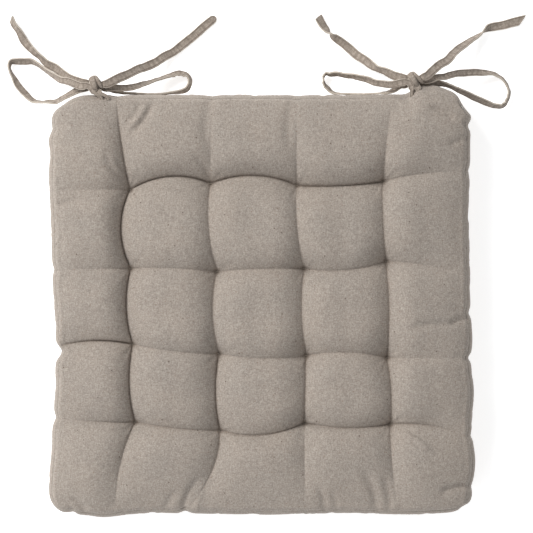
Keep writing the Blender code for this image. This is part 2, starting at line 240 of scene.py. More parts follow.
def fibrous_material(name, strands, stains, stain_range, colours, relief, roughness, sheen):
    """Spun or loose fibre: fine strands of two colours, broad stains of a third, and the strands' relief."""
    tree = Tree(name)
    place = tree.node("TexCoord").outputs["Object"]
    fine = tree.noise(place, *strands)
    broad = tree.noise(place, *stains)
    dark, pale, stained = colours
    colour = tree.mix(tree.ramp(fine, 0.3, 0.7), dark, pale)
    colour = tree.mix(tree.ramp(broad, *stain_range, 0.0, 0.3), colour, stained)
    return tree.finish(colour, fine, *relief, tree.ramp(fine, 0.2, 0.8, *roughness), sheen)


def twine_material():
    """Waxed cotton twine: pale and dark fibres, and a few stains."""
    colours = ((0.20, 0.165, 0.13, 1.0), (0.36, 0.31, 0.255, 1.0), (0.26, 0.21, 0.16, 1.0))
    plies, wax = (2600.0, 3.0, 0.7), (60.0, 2.0)
    return fibrous_material("twine", plies, wax, (0.4, 0.7), colours, (0.5, 0.1 * MM), (0.6, 0.8), 0.15)


def fibre_material():
    """White polyester wadding."""
    colours = ((0.62, 0.61, 0.58, 1.0), (0.86, 0.85, 0.83, 1.0), (0.72, 0.70, 0.66, 1.0))
    curls, clumps = (420.0, 5.0, 0.75), (45.0, 3.0)
    return fibrous_material(
        "fibre_fill", curls, clumps, (0.35, 0.65), colours, (0.9, 1.5 * MM), (0.85, 1.0), 0.3
    )


# ---------------------------------------------------------------- mesh helpers


def mesh_object(name, points, faces, look, cloth_map=None):
    """A smooth mesh in the scene. cloth_map gives each point's place on the flat cloth."""
    data = bpy.data.meshes.new(name)
    data.from_pydata([tuple(p) for p in points], [], [tuple(f) for f in faces])
    data.materials.append(look)
    if cloth_map is not None:
        layer = data.attributes.new(CLOTH_MAP, "FLOAT_VECTOR", "POINT")
        layer.data.foreach_set("vector", np.asarray(cloth_map, np.float32).ravel())
    data.shade_smooth()
    made = bpy.data.objects.new(name, data)
    bpy.context.scene.collection.objects.link(made)
    return made


def settle(piece, body, slot, *nodes):
    """The piece takes its body and the place of the CAD nodes that it stands for, which are hidden; slot, its
    finish, is not used.
    """
    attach(piece, body)
    if nodes:
        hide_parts(*nodes)


def waver(seed, *place):
    """Smooth noise from -1 to 1 at a place, different for each seed."""
    x, y, z = (*place, 0.0, 0.0)[:3]
    return noise.noise(Vector((x + 17.3 * seed, y - 9.1 * seed, z + 4.7 * seed)))


def runs_along(points):
    """How far along the line of points each one is."""
    return np.concatenate(([0.0], np.cumsum(np.linalg.norm(np.diff(points, axis=0), axis=1))))


def read_at(stops, run, values):
    """The values at these distances along a line, where they are known at the distances in run."""
    return np.column_stack([np.interp(stops, run, column) for column in values.T])


CURVE_STEPS = 24    # places worked out between two points of a curve


def catmull(points, step):
    """Points a step apart along the smooth curve through these points, each with all its numbers."""
    given = np.array(points, float)
    padded = np.vstack((2 * given[0] - given[1], given, 2 * given[-1] - given[-2]))
    dense = []
    for a, b, c, d in zip(padded, padded[1:], padded[2:], padded[3:]):
        for t in np.linspace(0.0, 1.0, CURVE_STEPS, endpoint=False):
            dense.append(0.5 * (2 * b + (c - a) * t + (2 * a - 5 * b + 4 * c - d) * t * t
                                + (3 * b - a - 3 * c + d) * t ** 3))
    dense.append(given[-1])
    dense = np.array(dense)
    run = runs_along(dense[:, :3])
    return read_at(np.linspace(0.0, run[-1], max(2, round(run[-1] / step)) + 1), run, dense)


def join(meshes):
    """One list of points and one of faces from several meshes, each given as its points and faces."""
    points, faces = [], []
    for more, quads in meshes:
        faces.extend(tuple(k + len(points) for k in quad) for quad in quads)
        points.extend(more)
    return points, faces


def ring_faces(rings, around, closed=False):
    """Quads between rings of points, and a face over each open end."""
    faces = []
    for i in range(rings if closed else rings - 1):
        for j in range(around):
            k = (j + 1) % around
            n = (i + 1) % rings
            faces.append((i * around + j, i * around + k, n * around + k, n * around + j))
    if not closed:
        faces.append(tuple(reversed(range(around))))
        faces.append(tuple((rings - 1) * around + j for j in range(around)))
    return faces


# ---------------------------------------------------------------- ties

# Each tape's middle line, by the CAD's own points: x, y, z and roll in degrees, 0 flat and 90 on edge
TAPES = {
    "left_stem_1": ((-152.5, 197.3, 47.2, 0), (-155.2, 199, 47.2, 0), (-158, 200.8, 46.8, 0)),
    "left_stem_2": ((-146.5, 197.3, 47.2, 0), (-149.8, 199, 47.2, 0), (-153, 200.8, 46.8, 0)),
    "left_tail_left": (
        (-163.7, 210.5, 41.5, 0), (-170, 210.7, 40, 0), (-177, 213, 35, 5), (-184, 216, 29, 10),
        (-191, 221, 21, 15), (-198, 227, 13.5, 20), (-207, 232, 8.5, 35), (-214, 239, 5.6, 55),
        (-220, 244, 4.6, 45), (-225, 249, 3.4, 25), (-230, 255, 3.2, 15), (-234, 263, 4.5, 40),
        (-238, 268, 5, 52), (-242, 276, 4.8, 48),
    ),
    "left_loop_left": (
        (-163.7, 207, 46, 0), (-170, 207, 45, 0), (-174, 208, 43, 0), (-183, 212, 38, 10),
        (-192, 214.5, 30, 36), (-201, 220.5, 20.5, 58), (-208, 225.5, 13, 66), (-216, 231.5, 8, 66),
        (-222, 234.5, 6, 48), (-228, 234.5, 5.2, 36), (-236, 234.5, 4.8, 40), (-242, 234.2, 4.6, 60),
        (-244, 230.2, 5, 75), (-243, 225.2, 5.2, 80), (-239, 218, 5.2, 60), (-235, 211, 5.6, 35),
        (-229, 204, 6.5, 35), (-221, 196.8, 8.5, 60), (-213, 194.8, 12, 78), (-205, 194.8, 16, 65),
        (-197, 194.3, 21, 50), (-189, 197.8, 26.5, 50), (-181, 201.4, 31.5, 40), (-173, 205, 35.5, 15),
        (-163.7, 206.6, 37, 0),
    ),
    "left_tail_right": (
        (-149.6, 208.9, 45.8, 0), (-147, 208.9, 45.4, 0), (-142, 211.4, 43.5, 0), (-134, 216, 38.5, 0),
        (-126, 220, 32, 5), (-118, 225, 24, 8), (-111, 228, 18, 8), (-101.8, 233, 11, 5),
        (-93.8, 239, 6, 3), (-84.8, 244, 3, 0), (-74.8, 252, 1.8, 0), (-64.8, 260, 1.6, 0),
        (-54.8, 269, 1.6, 0), (-43.8, 278, 1.6, 0),
    ),
    "left_loop_right": (
        (-150.9, 206.6, 41.5, 0), (-147, 206.4, 41, 5), (-142, 206, 39, 15), (-134, 206, 35, 25),
        (-126, 207, 30, 30), (-119, 209, 25, 40), (-113, 211.4, 20.5, 50), (-105, 214.4, 15.5, 65),
        (-97, 217.4, 11, 68), (-89, 220.4, 8, 60), (-82, 222.4, 6.5, 52), (-75, 222.4, 6, 50),
        (-70.8, 220.2, 5.8, 62), (-68.8, 215.2, 6, 72), (-71, 208.4, 6.5, 60), (-76, 205.4, 7, 62),
        (-83, 204.4, 8, 78), (-92, 203, 10.5, 88), (-103, 202, 14.5, 90), (-116, 202, 19.5, 90),
        (-128, 202, 25, 86), (-139, 203, 31, 80), (-145, 205.6, 36, 30), (-150.9, 206.3, 37, 0),
    ),
    "right_stem_1": ((142.6, 196.3, 47.2, 0), (142.6, 200.8, 47.2, 0), (142.6, 205.6, 46.4, 0)),
    "right_stem_2": ((148.6, 196.3, 47.2, 0), (148.6, 200.8, 47.2, 0), (148.6, 205.6, 46.4, 0)),
    "right_tail_left": (
        (139.2, 215, 41.5, 0), (134, 215.4, 40.5, 0), (126, 218, 37, 20), (119, 222, 32.5, 45),
        (112.2, 225.2, 27, 55), (106.2, 229.2, 21, 30), (99.2, 235.2, 14.5, 10), (92.2, 240.2, 9, 5),
        (86.2, 246.2, 5, 5), (79.2, 252.2, 3.2, 15), (72.2, 257.2, 4, 35), (69.2, 259.2, 5.2, 62),
        (67.2, 261.2, 5.9, 90), (64.2, 263.2, 5.6, 120), (62.2, 266.2, 4.6, 142),
        (58.2, 272.2, 3.6, 155), (55.2, 278.2, 3, 158),
    ),
    "right_loop_left": (
        (139.2, 210.6, 46, 0), (132, 210.2, 45, 10), (124, 208.8, 42, 20), (116, 209.8, 38, 32),
        (108, 211.8, 33.5, 42), (102, 214.8, 29, 48), (95, 216.8, 24.5, 53), (88, 218.8, 20, 58),
        (81, 219.8, 15.5, 62), (74, 221.8, 11.5, 66), (67, 221.8, 8.5, 70), (62, 222, 6.5, 78),
        (60, 218, 5.5, 88), (61, 213, 5.4, 75), (64, 209, 5.6, 60), (69, 204.4, 6, 72),
        (78, 203, 8, 86), (92, 202, 12.5, 90), (106, 202, 18.5, 86), (118, 202.4, 26, 76),
        (126, 204.3, 31, 50), (133, 208.9, 35.5, 15), (139.2, 209.5, 37, 0),
    ),
    "right_tail_right": (
        (152.7, 215.4, 46, 0), (157, 216.6, 45, 0), (163, 222, 42, 5), (170, 228, 37.5, 15),
        (178.5, 233.5, 31, 22), (184.5, 240.5, 24, 28), (191.5, 246.5, 17.5, 35),
        (198.5, 251.5, 12.5, 45), (205.5, 256.5, 8.8, 58), (211.5, 260.5, 6.4, 75), (214, 263, 5.4, 90),
        (217, 265, 4.6, 115), (220, 267, 3.6, 145), (224, 268, 2.8, 165), (229, 269, 2.2, 175),
        (235, 270, 1.9, 178), (242, 272, 1.8, 180), (254, 275, 1.8, 180),
    ),
    "right_loop_right": (
        (152.1, 212.6, 41.5, 0), (160, 213.4, 40, 15), (168, 216, 37, 35), (175, 217, 33.5, 30),
        (181, 219, 29.5, 20), (188, 221, 25, 10), (196, 222, 19.5, 5), (206, 223, 14.5, 12),
        (214, 223, 10.5, 34), (222, 223, 7.8, 58), (228, 221, 6.6, 62), (234, 217, 6, 72),
        (238, 211, 5.8, 72), (240, 204, 5.8, 70), (238, 197, 5.8, 70), (235, 192, 5.8, 66),
        (230, 191, 6, 62), (223, 192.2, 7, 55), (215, 195.2, 9, 46), (207, 198.2, 12, 42),
        (198, 202.2, 16, 50), (190, 205.2, 21, 62), (182, 208.2, 26.5, 68), (175, 210, 30, 60),
        (167, 211, 33.5, 35), (159, 211, 36, 12), (152.1, 210.8, 37, 0),
    ),
}
# How each whole tie runs: the root sewn in the seam, its stretches, the places where it turns in the knot,
# and the way it heads where it bends out of the seam
TIES = {
    "left_tie_1": {
        "side": "left", "root": (-150.4, 193.6, 46.4, 0), "inside": (),
        "parts": ("left_stem_1", "left_loop_left", "left_tail_right"),
        "bend": (-1, 2, -1), "cut": 0.0, "round_end": True, "frills": ((232, 240), (9, 6)),
    },
    "left_tie_2": {
        "side": "left", "root": (-144.6, 193.6, 46.4, 0), "inside": ((-156, 204.5, 44.4, 0),),
        "parts": ("left_stem_2", "left_loop_right", "left_tail_left"),
        "bend": (0, 1, 0), "cut": 0.25, "round_end": False, "frills": ((-78, 222), (9, 6)),
    },
    "right_tie_1": {
        "side": "right", "root": (142.8, 192.8, 46.4, 0), "inside": (),
        "parts": ("right_stem_1", "right_loop_left", "right_tail_right"),
        "bend": (0, 1, 0), "cut": 0.55, "round_end": False, "frills": ((62, 218), (7, 7)),
    },
    "right_tie_2": {
        "side": "right", "root": (148.4, 192.8, 46.4, 0), "inside": ((147.5, 210.5, 44.6, 0),),
        "parts": ("right_stem_2", "right_loop_right", "right_tail_left"),
        "bend": (0.5, 1, -1), "cut": -0.15, "round_end": False, "frills": ((236, 193), (6, 6)),
    },
}
TIE_STEP = 1.3                # from one point of a tie's line to the next, in millimetres
FLOOR_GAP = 0.3 * MM
TAPE_WIDTH = 8.8 * MM
TAPE_THICKNESS = 1.9 * MM
KNOTTED_WIDTH = 5.0 * MM      # where the tape is bunched up in the knot
ROOT_WIDTH = 3.3 * MM         # where it is folded up at its root in the seam
ROOT_POINTS = 9
LOOP_SHARE = 0.84             # a loop's tape is creased narrower than a tail's
KNOT_REACH = 5.5              # how far from the knot's middle the tape is bunched, in millimetres
KNOT_FADE = 7.0               # and how much further it is before it lies at its full width
WIDTH_UNEVEN = 0.09
ROUND_END = 5.0               # the stretch over which a folded end is rounded off, in millimetres
CUT_REACH = 9.0               # and the one over which a slanting cut leans
CUP_DEPTH = 0.55 * MM
CUP_LENGTH = 22 * MM
KNOT_LEAN = {"left": 24, "right": 36}    # degrees that each knot is turned from square
STITCH_INSET = 0.62           # the line of stitching, as a share of the half width
STITCH_HEIGHT = 0.5           # how high the stitches lie in their groove, as a share of the half thickness
STITCH_PITCH = 2.7 * MM
STITCH_LENGTH = 1.9 * MM
STITCH_RADIUS = 0.21 * MM
STITCH_CLEAR = 14 * MM        # from the knot's middle to the first stitch
STEM_POINTS = 12              # the points of a tie's stem, which has no stitches
STITCHES_FROM_Y = 200 * MM    # nor has the rest of it that lies over the pad
STITCH_SIDES = 6


def knot_middle(side):
    low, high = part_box(f"{side}_knot")
    return (low + high) / 2


def tie_route(tie):
    """The whole middle line of a tie in metres, with its roll in radians."""
    first, *rest = (TAPES[part] for part in tie["parts"])
    points = [tie["root"], *first, *tie["inside"]]
    for part in rest:
        points.extend(part)
    route = catmull(points, TIE_STEP)
    route[:, :3] *= MM
    route[:, 3] = np.radians(route[:, 3])
    return route


def tape_frames(route):
    """For each point of the line: where it heads, the tape's own width direction, and its face."""
    middles = [Vector(row[:3]) for row in route]
    frames = []
    for i, here in enumerate(middles):
        heading = (middles[min(i + 1, len(middles) - 1)] - middles[max(i - 1, 0)]).normalized()
        level = heading.cross(Vector((0, 0, 1))).normalized()
        above = level.cross(heading).normalized()
        roll = route[i][3]
        width_way = level * math.cos(roll) + above * math.sin(roll)
        face = above * math.cos(roll) - level * math.sin(roll)
        frames.append((here, heading, width_way, face))
    return frames


def tape_widths(tie, frames):
    """The tape's width at each point: bunched at the root and in the knot, a little uneven elsewhere."""
    middle = knot_middle(tie["side"])
    seed = len(tie["parts"][1])
    widths = []
    loop_end = max(i for i, row in enumerate(frames) if (row[0] - middle).length < KNOT_REACH * MM)
    for i, (here, *_rest) in enumerate(frames):
        off = (here - middle).length / MM
        loose = min(max((off - KNOT_REACH) / KNOT_FADE, 0.0), 1.0)
        loose = loose * loose * (3 - 2 * loose)
        uneven = 1.0 + WIDTH_UNEVEN * waver(seed, i * 0.12)
        full = TAPE_WIDTH * (LOOP_SHARE if i < loop_end else 1.0)
        width = KNOTTED_WIDTH + (full - KNOTTED_WIDTH) * loose
        widths.append((ROOT_WIDTH if i < ROOT_POINTS else width) * uneven)
    return widths


def tape_section():
    """One side of the tape's outline: (across from -1 to 1, height from 0 to 1), fullest along its folds."""
    across = (-1.0, -0.94, -0.82, -0.64, -0.42, -0.10, 0.2, 0.42, 0.54, 0.62, 0.70, 0.84, 0.95, 1.0)
    height = (0.0, 0.75, 1.0, 0.70, 0.50, 0.44, 0.52, 0.80, 0.86, 0.42, 0.80, 1.0, 0.72, 0.0)
    return tuple(zip(across, height))


def end_shape(tie, width, left_over):
    """How much narrower the tape is this near to its far end, and how far its cut slants there."""
    squeeze = 1.0
    if tie["round_end"] and left_over < ROUND_END:
        squeeze = math.sqrt(max(1.0 - (1.0 - left_over / ROUND_END) ** 2.2, 0.03))
    return squeeze, tie["cut"] * width * max(0.0, 1.0 - left_over / CUT_REACH)


def frill_at(tie, here):
    """How ruffled the tape is at a place: 1 at the middle of its frills, and 0 away from them."""
    (x, y), (reach_x, reach_y) = tie["frills"]
    return math.exp(-((here.x / MM - x) / reach_x) ** 2 - ((here.y / MM - y) / reach_y) ** 2)


def off_flat(seed, run, a, frill):
    """How far a point of the tape is off its flat, a from its middle: cupped, crinkled and ruffled."""
    edge = a * a
    cup = CUP_DEPTH * waver(seed, run / CUP_LENGTH)
    crinkle = 0.5 * waver(seed + 1, run / 0.0048, a * 1.3)
    crinkle += 0.28 * waver(seed + 2, run / 0.0021, a * 2.0)
    wave = 1.1 * math.sin(run / 0.0009) + 1.5 * waver(seed + 3, run / 0.0022)
    wave *= frill * edge * (0.4 + 0.6 * a)
    return cup * (edge - 0.35) + (crinkle * (0.5 + 0.9 * edge) * (0.7 + frill) + wave) * MM


def tie_mesh(name, tie, look):
    """The tape swept along its line, cupped, crinkled and frilled, with its end cut or rounded."""
    frames = tape_frames(tie_route(tie))
    widths = tape_widths(tie, frames)
    upper = tape_section()
    outline = [(a, h) for a, h in upper] + [(a, -h) for a, h in reversed(upper[1:-1])]
    seed = 3 * len(name) + sum(map(ord, name[-3:]))
    points, cloth = [], []
    run = 0.0
    for i, (here, heading, width_way, face) in enumerate(frames):
        run += (here - frames[max(i - 1, 0)][0]).length
        squeeze, slant = end_shape(tie, widths[i], (len(frames) - 1 - i) * TIE_STEP)
        frill = frill_at(tie, here)
        half = widths[i] / 2 * squeeze
        bunched = TAPE_WIDTH / widths[i]
        for a, h in outline:
            lift = off_flat(seed, run, a, frill)
            rim = 1.0 + 0.035 * waver(seed + 4, run / 0.003, 3.0 * a)
            thick = TAPE_THICKNESS / 2 * h * (0.75 + 0.25 * bunched)
            place = here + width_way * (a * half * rim) + face * (thick + lift) + heading * (slant * a)
            place.z = max(place.z, FLOOR_GAP)
            points.append(place)
            cloth.append((a * TAPE_WIDTH / 2, run, h * MM))
    piece = mesh_object(name, points, ring_faces(len(frames), len(outline)), look, cloth)
    smoother = piece.modifiers.new("subdivision", "SUBSURF")
    smoother.levels = smoother.render_levels = 1
    path = [tuple(here) for here, *_rest in frames]
    return piece, path, frames, widths


def capsule(centre, along, side, up, length, radius):
    """Points and faces of one stitch: a short round bar with its ends dipping into the cloth."""
    half = ((0.5, 0.35, -0.9), (0.32, 0.95, -0.1))
    stations = [(-t, thick, drop) for t, thick, drop in half] + [(0.0, 1.0, 0.25)] + list(half[::-1])
    points = []
    for t, thick, drop in stations:
        middle = centre + along * (t * length) + up * (drop * radius)
        for k in range(STITCH_SIDES):
            turn = k * math.tau / STITCH_SIDES
            points.append(middle + (side * math.cos(turn) + up * math.sin(turn)) * (radius * thick))
    return points, ring_faces(len(stations), STITCH_SIDES)


def stitch_mesh(name, frames, widths, look, start):
    """The topstitching along one edge of a tape, on both of its faces."""
    stitches = []
    run, due = 0.0, 0.0
    for i in range(start, len(frames) - 3):
        here, heading, width_way, face = frames[i]
        run += (frames[i + 1][0] - here).length
        if run < due:
            continue
        due = run + STITCH_PITCH
        for way in (1, -1):
            centre = here + width_way * (STITCH_INSET * widths[i] / 2)
            centre += face * (way * STITCH_HEIGHT * TAPE_THICKNESS / 2)
            stitches.append(capsule(centre, heading, width_way, face * way, STITCH_LENGTH, STITCH_RADIUS))
    return mesh_object(name, *join(stitches), look)


WRAP_STEPS = 44
WRAP_CROWN = 1.1 * MM
WRAP_PUCKER = 0.25 * MM
# The strands that make a knot: half its depth and height, from and to in degrees, from and to along the
# knot, width, slope and seed
KNOT_STRANDS = (
    ((7.6, 7.0), (-230, 130), (-1.0, -1.0), 7.2, 0.8, 3),
    ((6.8, 6.0), (-150, 170), (4.6, 3.4), 3.8, -1.2, 8),
    ((4.6, 4.4), (-180, 180), (0.0, 0.0), 10.5, 0.0, 5),
)


def wrap_mesh(centre, radii, turns, shifts, width, slope, seed):
    """A strand of tape wrapped round the knot, crowned and with its edges tucked in, in millimetres."""
    radii = [radius * MM for radius in radii]
    width *= MM
    across = (-1.0, -0.9, -0.62, -0.3, 0.0, 0.3, 0.62, 0.9, 1.0)
    crown = (-0.55, 0.12, 0.62, 0.86, 0.92, 0.98, 0.74, 0.16, -0.55)
    outline = list(zip(across, crown)) + [(a, -0.9) for a in reversed(across[1:-1])]
    points, cloth = [], []
    for i in range(WRAP_STEPS + 1):
        share = i / WRAP_STEPS
        turn = math.radians(turns[0] + (turns[1] - turns[0]) * share)
        out = Vector((0, math.cos(turn) / radii[0], math.sin(turn) / radii[1])).normalized()
        spot = Vector((0, math.cos(turn) * radii[0], math.sin(turn) * radii[1]))
        spot.x = (shifts[0] + (shifts[1] - shifts[0]) * share + slope * math.cos(turn)) * MM
        tight = 1.0 - 0.35 * (1 - math.sin(math.pi * share)) ** 2
        for a, h in outline:
            pucker = WRAP_PUCKER * waver(seed, i * 0.35, a * 1.6)
            place = centre + spot + Vector((a * width / 2 * tight, 0, 0)) + out * (h * WRAP_CROWN + pucker)
            points.append(place)
            cloth.append((a * width / 2, share * 0.04, h * MM))
    return points, ring_faces(WRAP_STEPS + 1, len(outline)), cloth


def knot_mesh(side, look):
    """The knot: a snug core, the band round it, and the strand that crosses it."""
    centre = knot_middle(side)
    strands = [wrap_mesh(centre, *strand) for strand in KNOT_STRANDS]
    points, faces = join((places, quads) for places, quads, _mapped in strands)
    cloth = [place for *_rest, mapped in strands for place in mapped]
    lean = Matrix.Rotation(math.radians(KNOT_LEAN[side]), 3, "Z")
    points = [centre + lean @ (place - centre) for place in points]
    return mesh_object(f"{side}_knot_wraps", points, faces, look, cloth)


def make_ties(tape, twine):
    """Both bows: two tapes with their topstitching, and the knot that holds them."""
    knots = {side: knot_mesh(side, tape) for side in ("left", "right")}
    for side, knot in knots.items():
        settle(knot, f"{side}_ties", "tape", f"{side}_knot")
    for name, tie in TIES.items():
        piece, path, frames, widths = tie_mesh(name, tie, tape)
        body = f"{tie['side']}_ties"
        middle = knot_middle(tie["side"])
        start = next(
            i for i, (here, *_rest) in enumerate(frames)
            if i > STEM_POINTS and (here - middle).length > STITCH_CLEAR and here.y > STITCHES_FROM_Y
        )
        stitches = stitch_mesh(f"{name}_stitching", frames, widths, twine, start)
        settle(stitches, body, "twine")
        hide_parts(*tie["parts"])
        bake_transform(piece)


CANVAS = canvas_material("canvas")
TAPE_LOOK = canvas_material("tape_canvas", tint=TAPE_TINT, on_tape=True)
TWINE = twine_material()
FIBRE = fibre_material()
make_ties(TAPE_LOOK, TWINE)

# ---------------------------------------------------------------- pad surface

FACES = 24              # faces along each side of a pocket
CELLS = 5               # pockets across and along
TUFTS = [(row, column) for row in range(1, CELLS) for column in range(1, CELLS)]
BAND_ROWS = 10          # faces down the side band
CROWDING = 0.62         # how far the lines of faces crowd towards the creases
EVEN = np.linspace(0, 1, FACES + 1)
STEPS = (1 - CROWDING) * EVEN + CROWDING * (1 - np.cos(np.pi * EVEN)) / 2
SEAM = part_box("top_panel")[1].x
BULGE_OUT = -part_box("side_band_left")[0].x - SEAM
SEAM_DROP = 1.5 * MM    # from a band's edge in the CAD to the seam itself
TOP_SEAM_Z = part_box("side_band_left")[1].z + SEAM_DROP
BOTTOM_SEAM_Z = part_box("side_band_left")[0].z - SEAM_DROP
STITCH_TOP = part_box("tuft_thread_1_1")[1].z
STITCH_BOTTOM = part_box("tuft_thread_1_1")[0].z
TWINE_RADIUS = 0.6 * MM
PIT_Z = STITCH_TOP - 2 * TWINE_RADIUS - 0.8 * MM
UNDER_PIT_Z = STITCH_BOTTOM + 2 * TWINE_RADIUS + 0.6 * MM
CROWN_Z = 57.0 * MM
CROWN_UNEVEN = 0.8 * MM
REST_Z = 0.35 * MM
ARC_POINTS = 40         # along a corner of the outline
OUTLINE_STEP = 0.8 * MM
PINCH = 7 * MM          # how far a tuft makes its creases sharp
RUN_OUT = 0.45          # where a crease's rise to the seam begins, as a share of its length from the tuft
CRUMPLE = 0.5 * MM      # of the side band

# Where each crease runs out at the seam, from the rear or the left, in millimetres
REAR_ENDS = (-137, -46, 34, 124)
FRONT_ENDS = (-137.5, -69, 42, 130)
LEFT_ENDS = (108, 33, -39, -108)
RIGHT_ENDS = (126, 28, -51, -125)
CORNER_RADII = {"rear_left": 31, "rear_right": 25, "front_right": 20, "front_left": 20}

# Each crease from one end to the next: how far its middle bows (rearward, or to the right), and how sharp
ACROSS = (
    ((0, 0.25), (9.5, 1.0), (8.5, 1.0), (-2.5, 0.95), (2, 0.4)),
    ((0, 0.35), (1.5, 0.4), (1, 0.4), (-5, 0.6), (2, 0.5)),
    ((4, 0.95), (-2, 0.3), (-3, 0.4), (4.5, 0.45), (0, 0.2)),
    ((-1, 0.6), (-1.5, 0.6), (-7, 0.75), (-3.5, 0.7), (5, 0.65)),
)
DOWN = (
    ((-1, 0.75), (-8.5, 1.0), (-5, 0.95), (-4, 0.85), (-5, 0.45)),
    ((0, 0.2), (-4, 0.4), (-4.5, 0.65), (-3.5, 0.95), (8, 0.65)),
    ((0, 0.15), (-3, 0.35), (-3, 0.55), (0, 0.7), (0, 0.3)),
    ((-1, 0.25), (-1.5, 0.6), (2, 0.7), (2, 0.7), (-2, 0.45)),
)
# Dents and puffs of the outline: place, reach and how far outward
OUTLINE_MARKS = (
    (165, 196, 11, 9), (150, 196, 8, 7.5), (182, 194, 9, 4), (190, 190, 6, -1.5), (197, 178, 4, 3.5),
    (196, 170, 4, -2.5), (-196, 166, 5, -2.0), (-194, 180, 9, 3), (-195, 157, 9, 2),
    (-195, 120, 34, 2.5), (-195, -20, 30, -3.2), (-195, -45, 7, -6), (-188, -186, 11, 2),
    (189, -184, 8, 3), (-195, -75, 36, -3.5), (-195, -170, 22, 2.5), (-150, -196, 20, 3.5),
    (-179, -194, 4, -3), (-72, -196, 5, -2.5), (-100, -196, 14, -1), (0, -196, 50, 0.8),
    (80, -196, 22, -0.8), (140, -196, 22, 1), (197, -173, 4, -1.5), (189, -189, 4, -2),
    (196, -8, 4, -2), (196, -30, 16, 2), (196, -51, 4, -2.5), (196, -85, 22, 3.5), (196, -125, 4, -1.5),
    (196, -150, 24, 5), (178, -196, 9, -1), (-46, 196, 7, -1), (34, 196, 7, -1), (124, 196, 12, 0.8),
    (-137, 196, 7, -1.5), (196, 126, 6, -1.5), (196, 80, 40, -1.5), (-195, 33, 6, -1.5),
    (-195, -108, 5, -2),
)
WRINKLE_DEPTH = 1.2 * MM
# Small wrinkles of the top: start, end and half width in millimetres, and height in units of WRINKLE_DEPTH
WRINKLES = (
    (-102, 191, -122, 162, 3.2, -2.6), (-108, 190, -125, 167, 2.6, 1.3),
    (-114, 190, -127, 172, 2.6, -1.5), (-127, 114, -147, 141, 3.5, -1.5),
    (-62, 141, -49, 117, 3.5, -1.3), (-136, 134, -126, 118, 2.6, -1.6), (142, -22, 178, -19, 2.8, -2.4),
    (178, -19, 197, -13, 2.8, -2.6), (130, -119, 160, -138, 1.6, 2.6),
    (-75, -197, -60, -165, 3.4, -1.9), (-62, -197, -52, -168, 3.0, 1.0),
    (-92, -197, -80, -176, 3.4, -1.3), (98, -157, 110, -197, 4.2, -2.0),
    (116, -162, 121, -197, 3.8, -1.4), (55, -172, 60, -197, 3.4, -1.6), (68, -176, 70, -197, 3.0, -1.2),
    (170, -178, 196, -172, 3.0, -2.4), (160, 186, 182, 176, 4.0, -1.8), (178, 150, 197, 158, 3.0, -1.6),
    (-180, -182, -165, -196, 3.0, -2.0), (-196, 92, -170, 98, 3.0, -1.3), (26, 150, 31, 196, 4.5, -1.2),
    (-52, 152, -47, 196, 4.5, -1.2),
)


def tuft(row, column):
    low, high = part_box(f"tuft_thread_{row}_{column}")
    return np.array(((low.x + high.x) / 2, (low.y + high.y) / 2))


def outline_line():
    """The seam's outline from above: a rounded square, clockwise from the rear left corner's middle."""
    points = []
    order = (
        ("rear_left", -1, 1, 135, 45), ("rear_right", 1, 1, 90, 90), ("front_right", 1, -1, 0, 90),
        ("front_left", -1, -1, -90, 90), ("rear_left", -1, 1, 180, 45),
    )
    for name, sign_x, sign_y, start, sweep in order:
        radius = CORNER_RADII[name] * MM
        middle = np.array((sign_x, sign_y)) * (SEAM - radius)
        for angle in np.linspace(start, start - sweep, ARC_POINTS):
            turn = math.radians(angle)
            points.append(middle + radius * np.array((math.cos(turn), math.sin(turn))))
    points = np.array(points)
    dense = []
    for a, b in zip(points, points[1:]):
        steps = max(1, int(np.linalg.norm(b - a) / OUTLINE_STEP))
        dense.extend(a + (b - a) * t for t in np.linspace(0, 1, steps, endpoint=False))
    dense.append(points[-1])
    return np.array(dense)


def outline_stops():
    """The 20 places on the outline where a crease or a corner's middle lies, clockwise."""
    corner = {
        name: SEAM - (1 - math.sqrt(0.5)) * radius * MM for name, radius in CORNER_RADII.items()
    }
    stops = [(-corner["rear_left"], corner["rear_left"])]
    stops += [(x * MM, SEAM) for x in REAR_ENDS]
    stops += [(corner["rear_right"], corner["rear_right"])]
    stops += [(SEAM, y * MM) for y in RIGHT_ENDS]
    stops += [(corner["front_right"], -corner["front_right"])]
    stops += [(x * MM, -SEAM) for x in reversed(FRONT_ENDS)]
    stops += [(-corner["front_left"], -corner["front_left"])]
    stops += [(-SEAM, y * MM) for y in reversed(LEFT_ENDS)]
    return np.array(stops)


def outline_runs():
    """The outline cut at its stops: for each stretch, FACES + 1 points and their outward directions."""
    line = outline_line()
    run = runs_along(line)
    along = np.gradient(line, axis=0)
    outward = np.column_stack((-along[:, 1], along[:, 0]))
    outward /= np.linalg.norm(outward, axis=1)[:, None]
    at = [run[np.argmin(np.linalg.norm(line - stop, axis=1))] for stop in outline_stops()]
    at[0] = 0.0
    at.append(run[-1])
    runs = []
    for start, end in zip(at, at[1:]):
        marks = start + (end - start) * STEPS
        place = read_at(marks, run, line)
        way = read_at(marks, run, outward)
        runs.append((place + way * outline_shift(place)[:, None], way))
    return runs


def outline_shift(place):
    """How far the outline stands out or in at each place."""
    shift = np.zeros(len(place))
    for x, y, reach, out in OUTLINE_MARKS:
        off = np.hypot(place[:, 0] - x * MM, place[:, 1] - y * MM) / (reach * MM)
        shift += out * MM * np.exp(-off ** 2)
    return shift


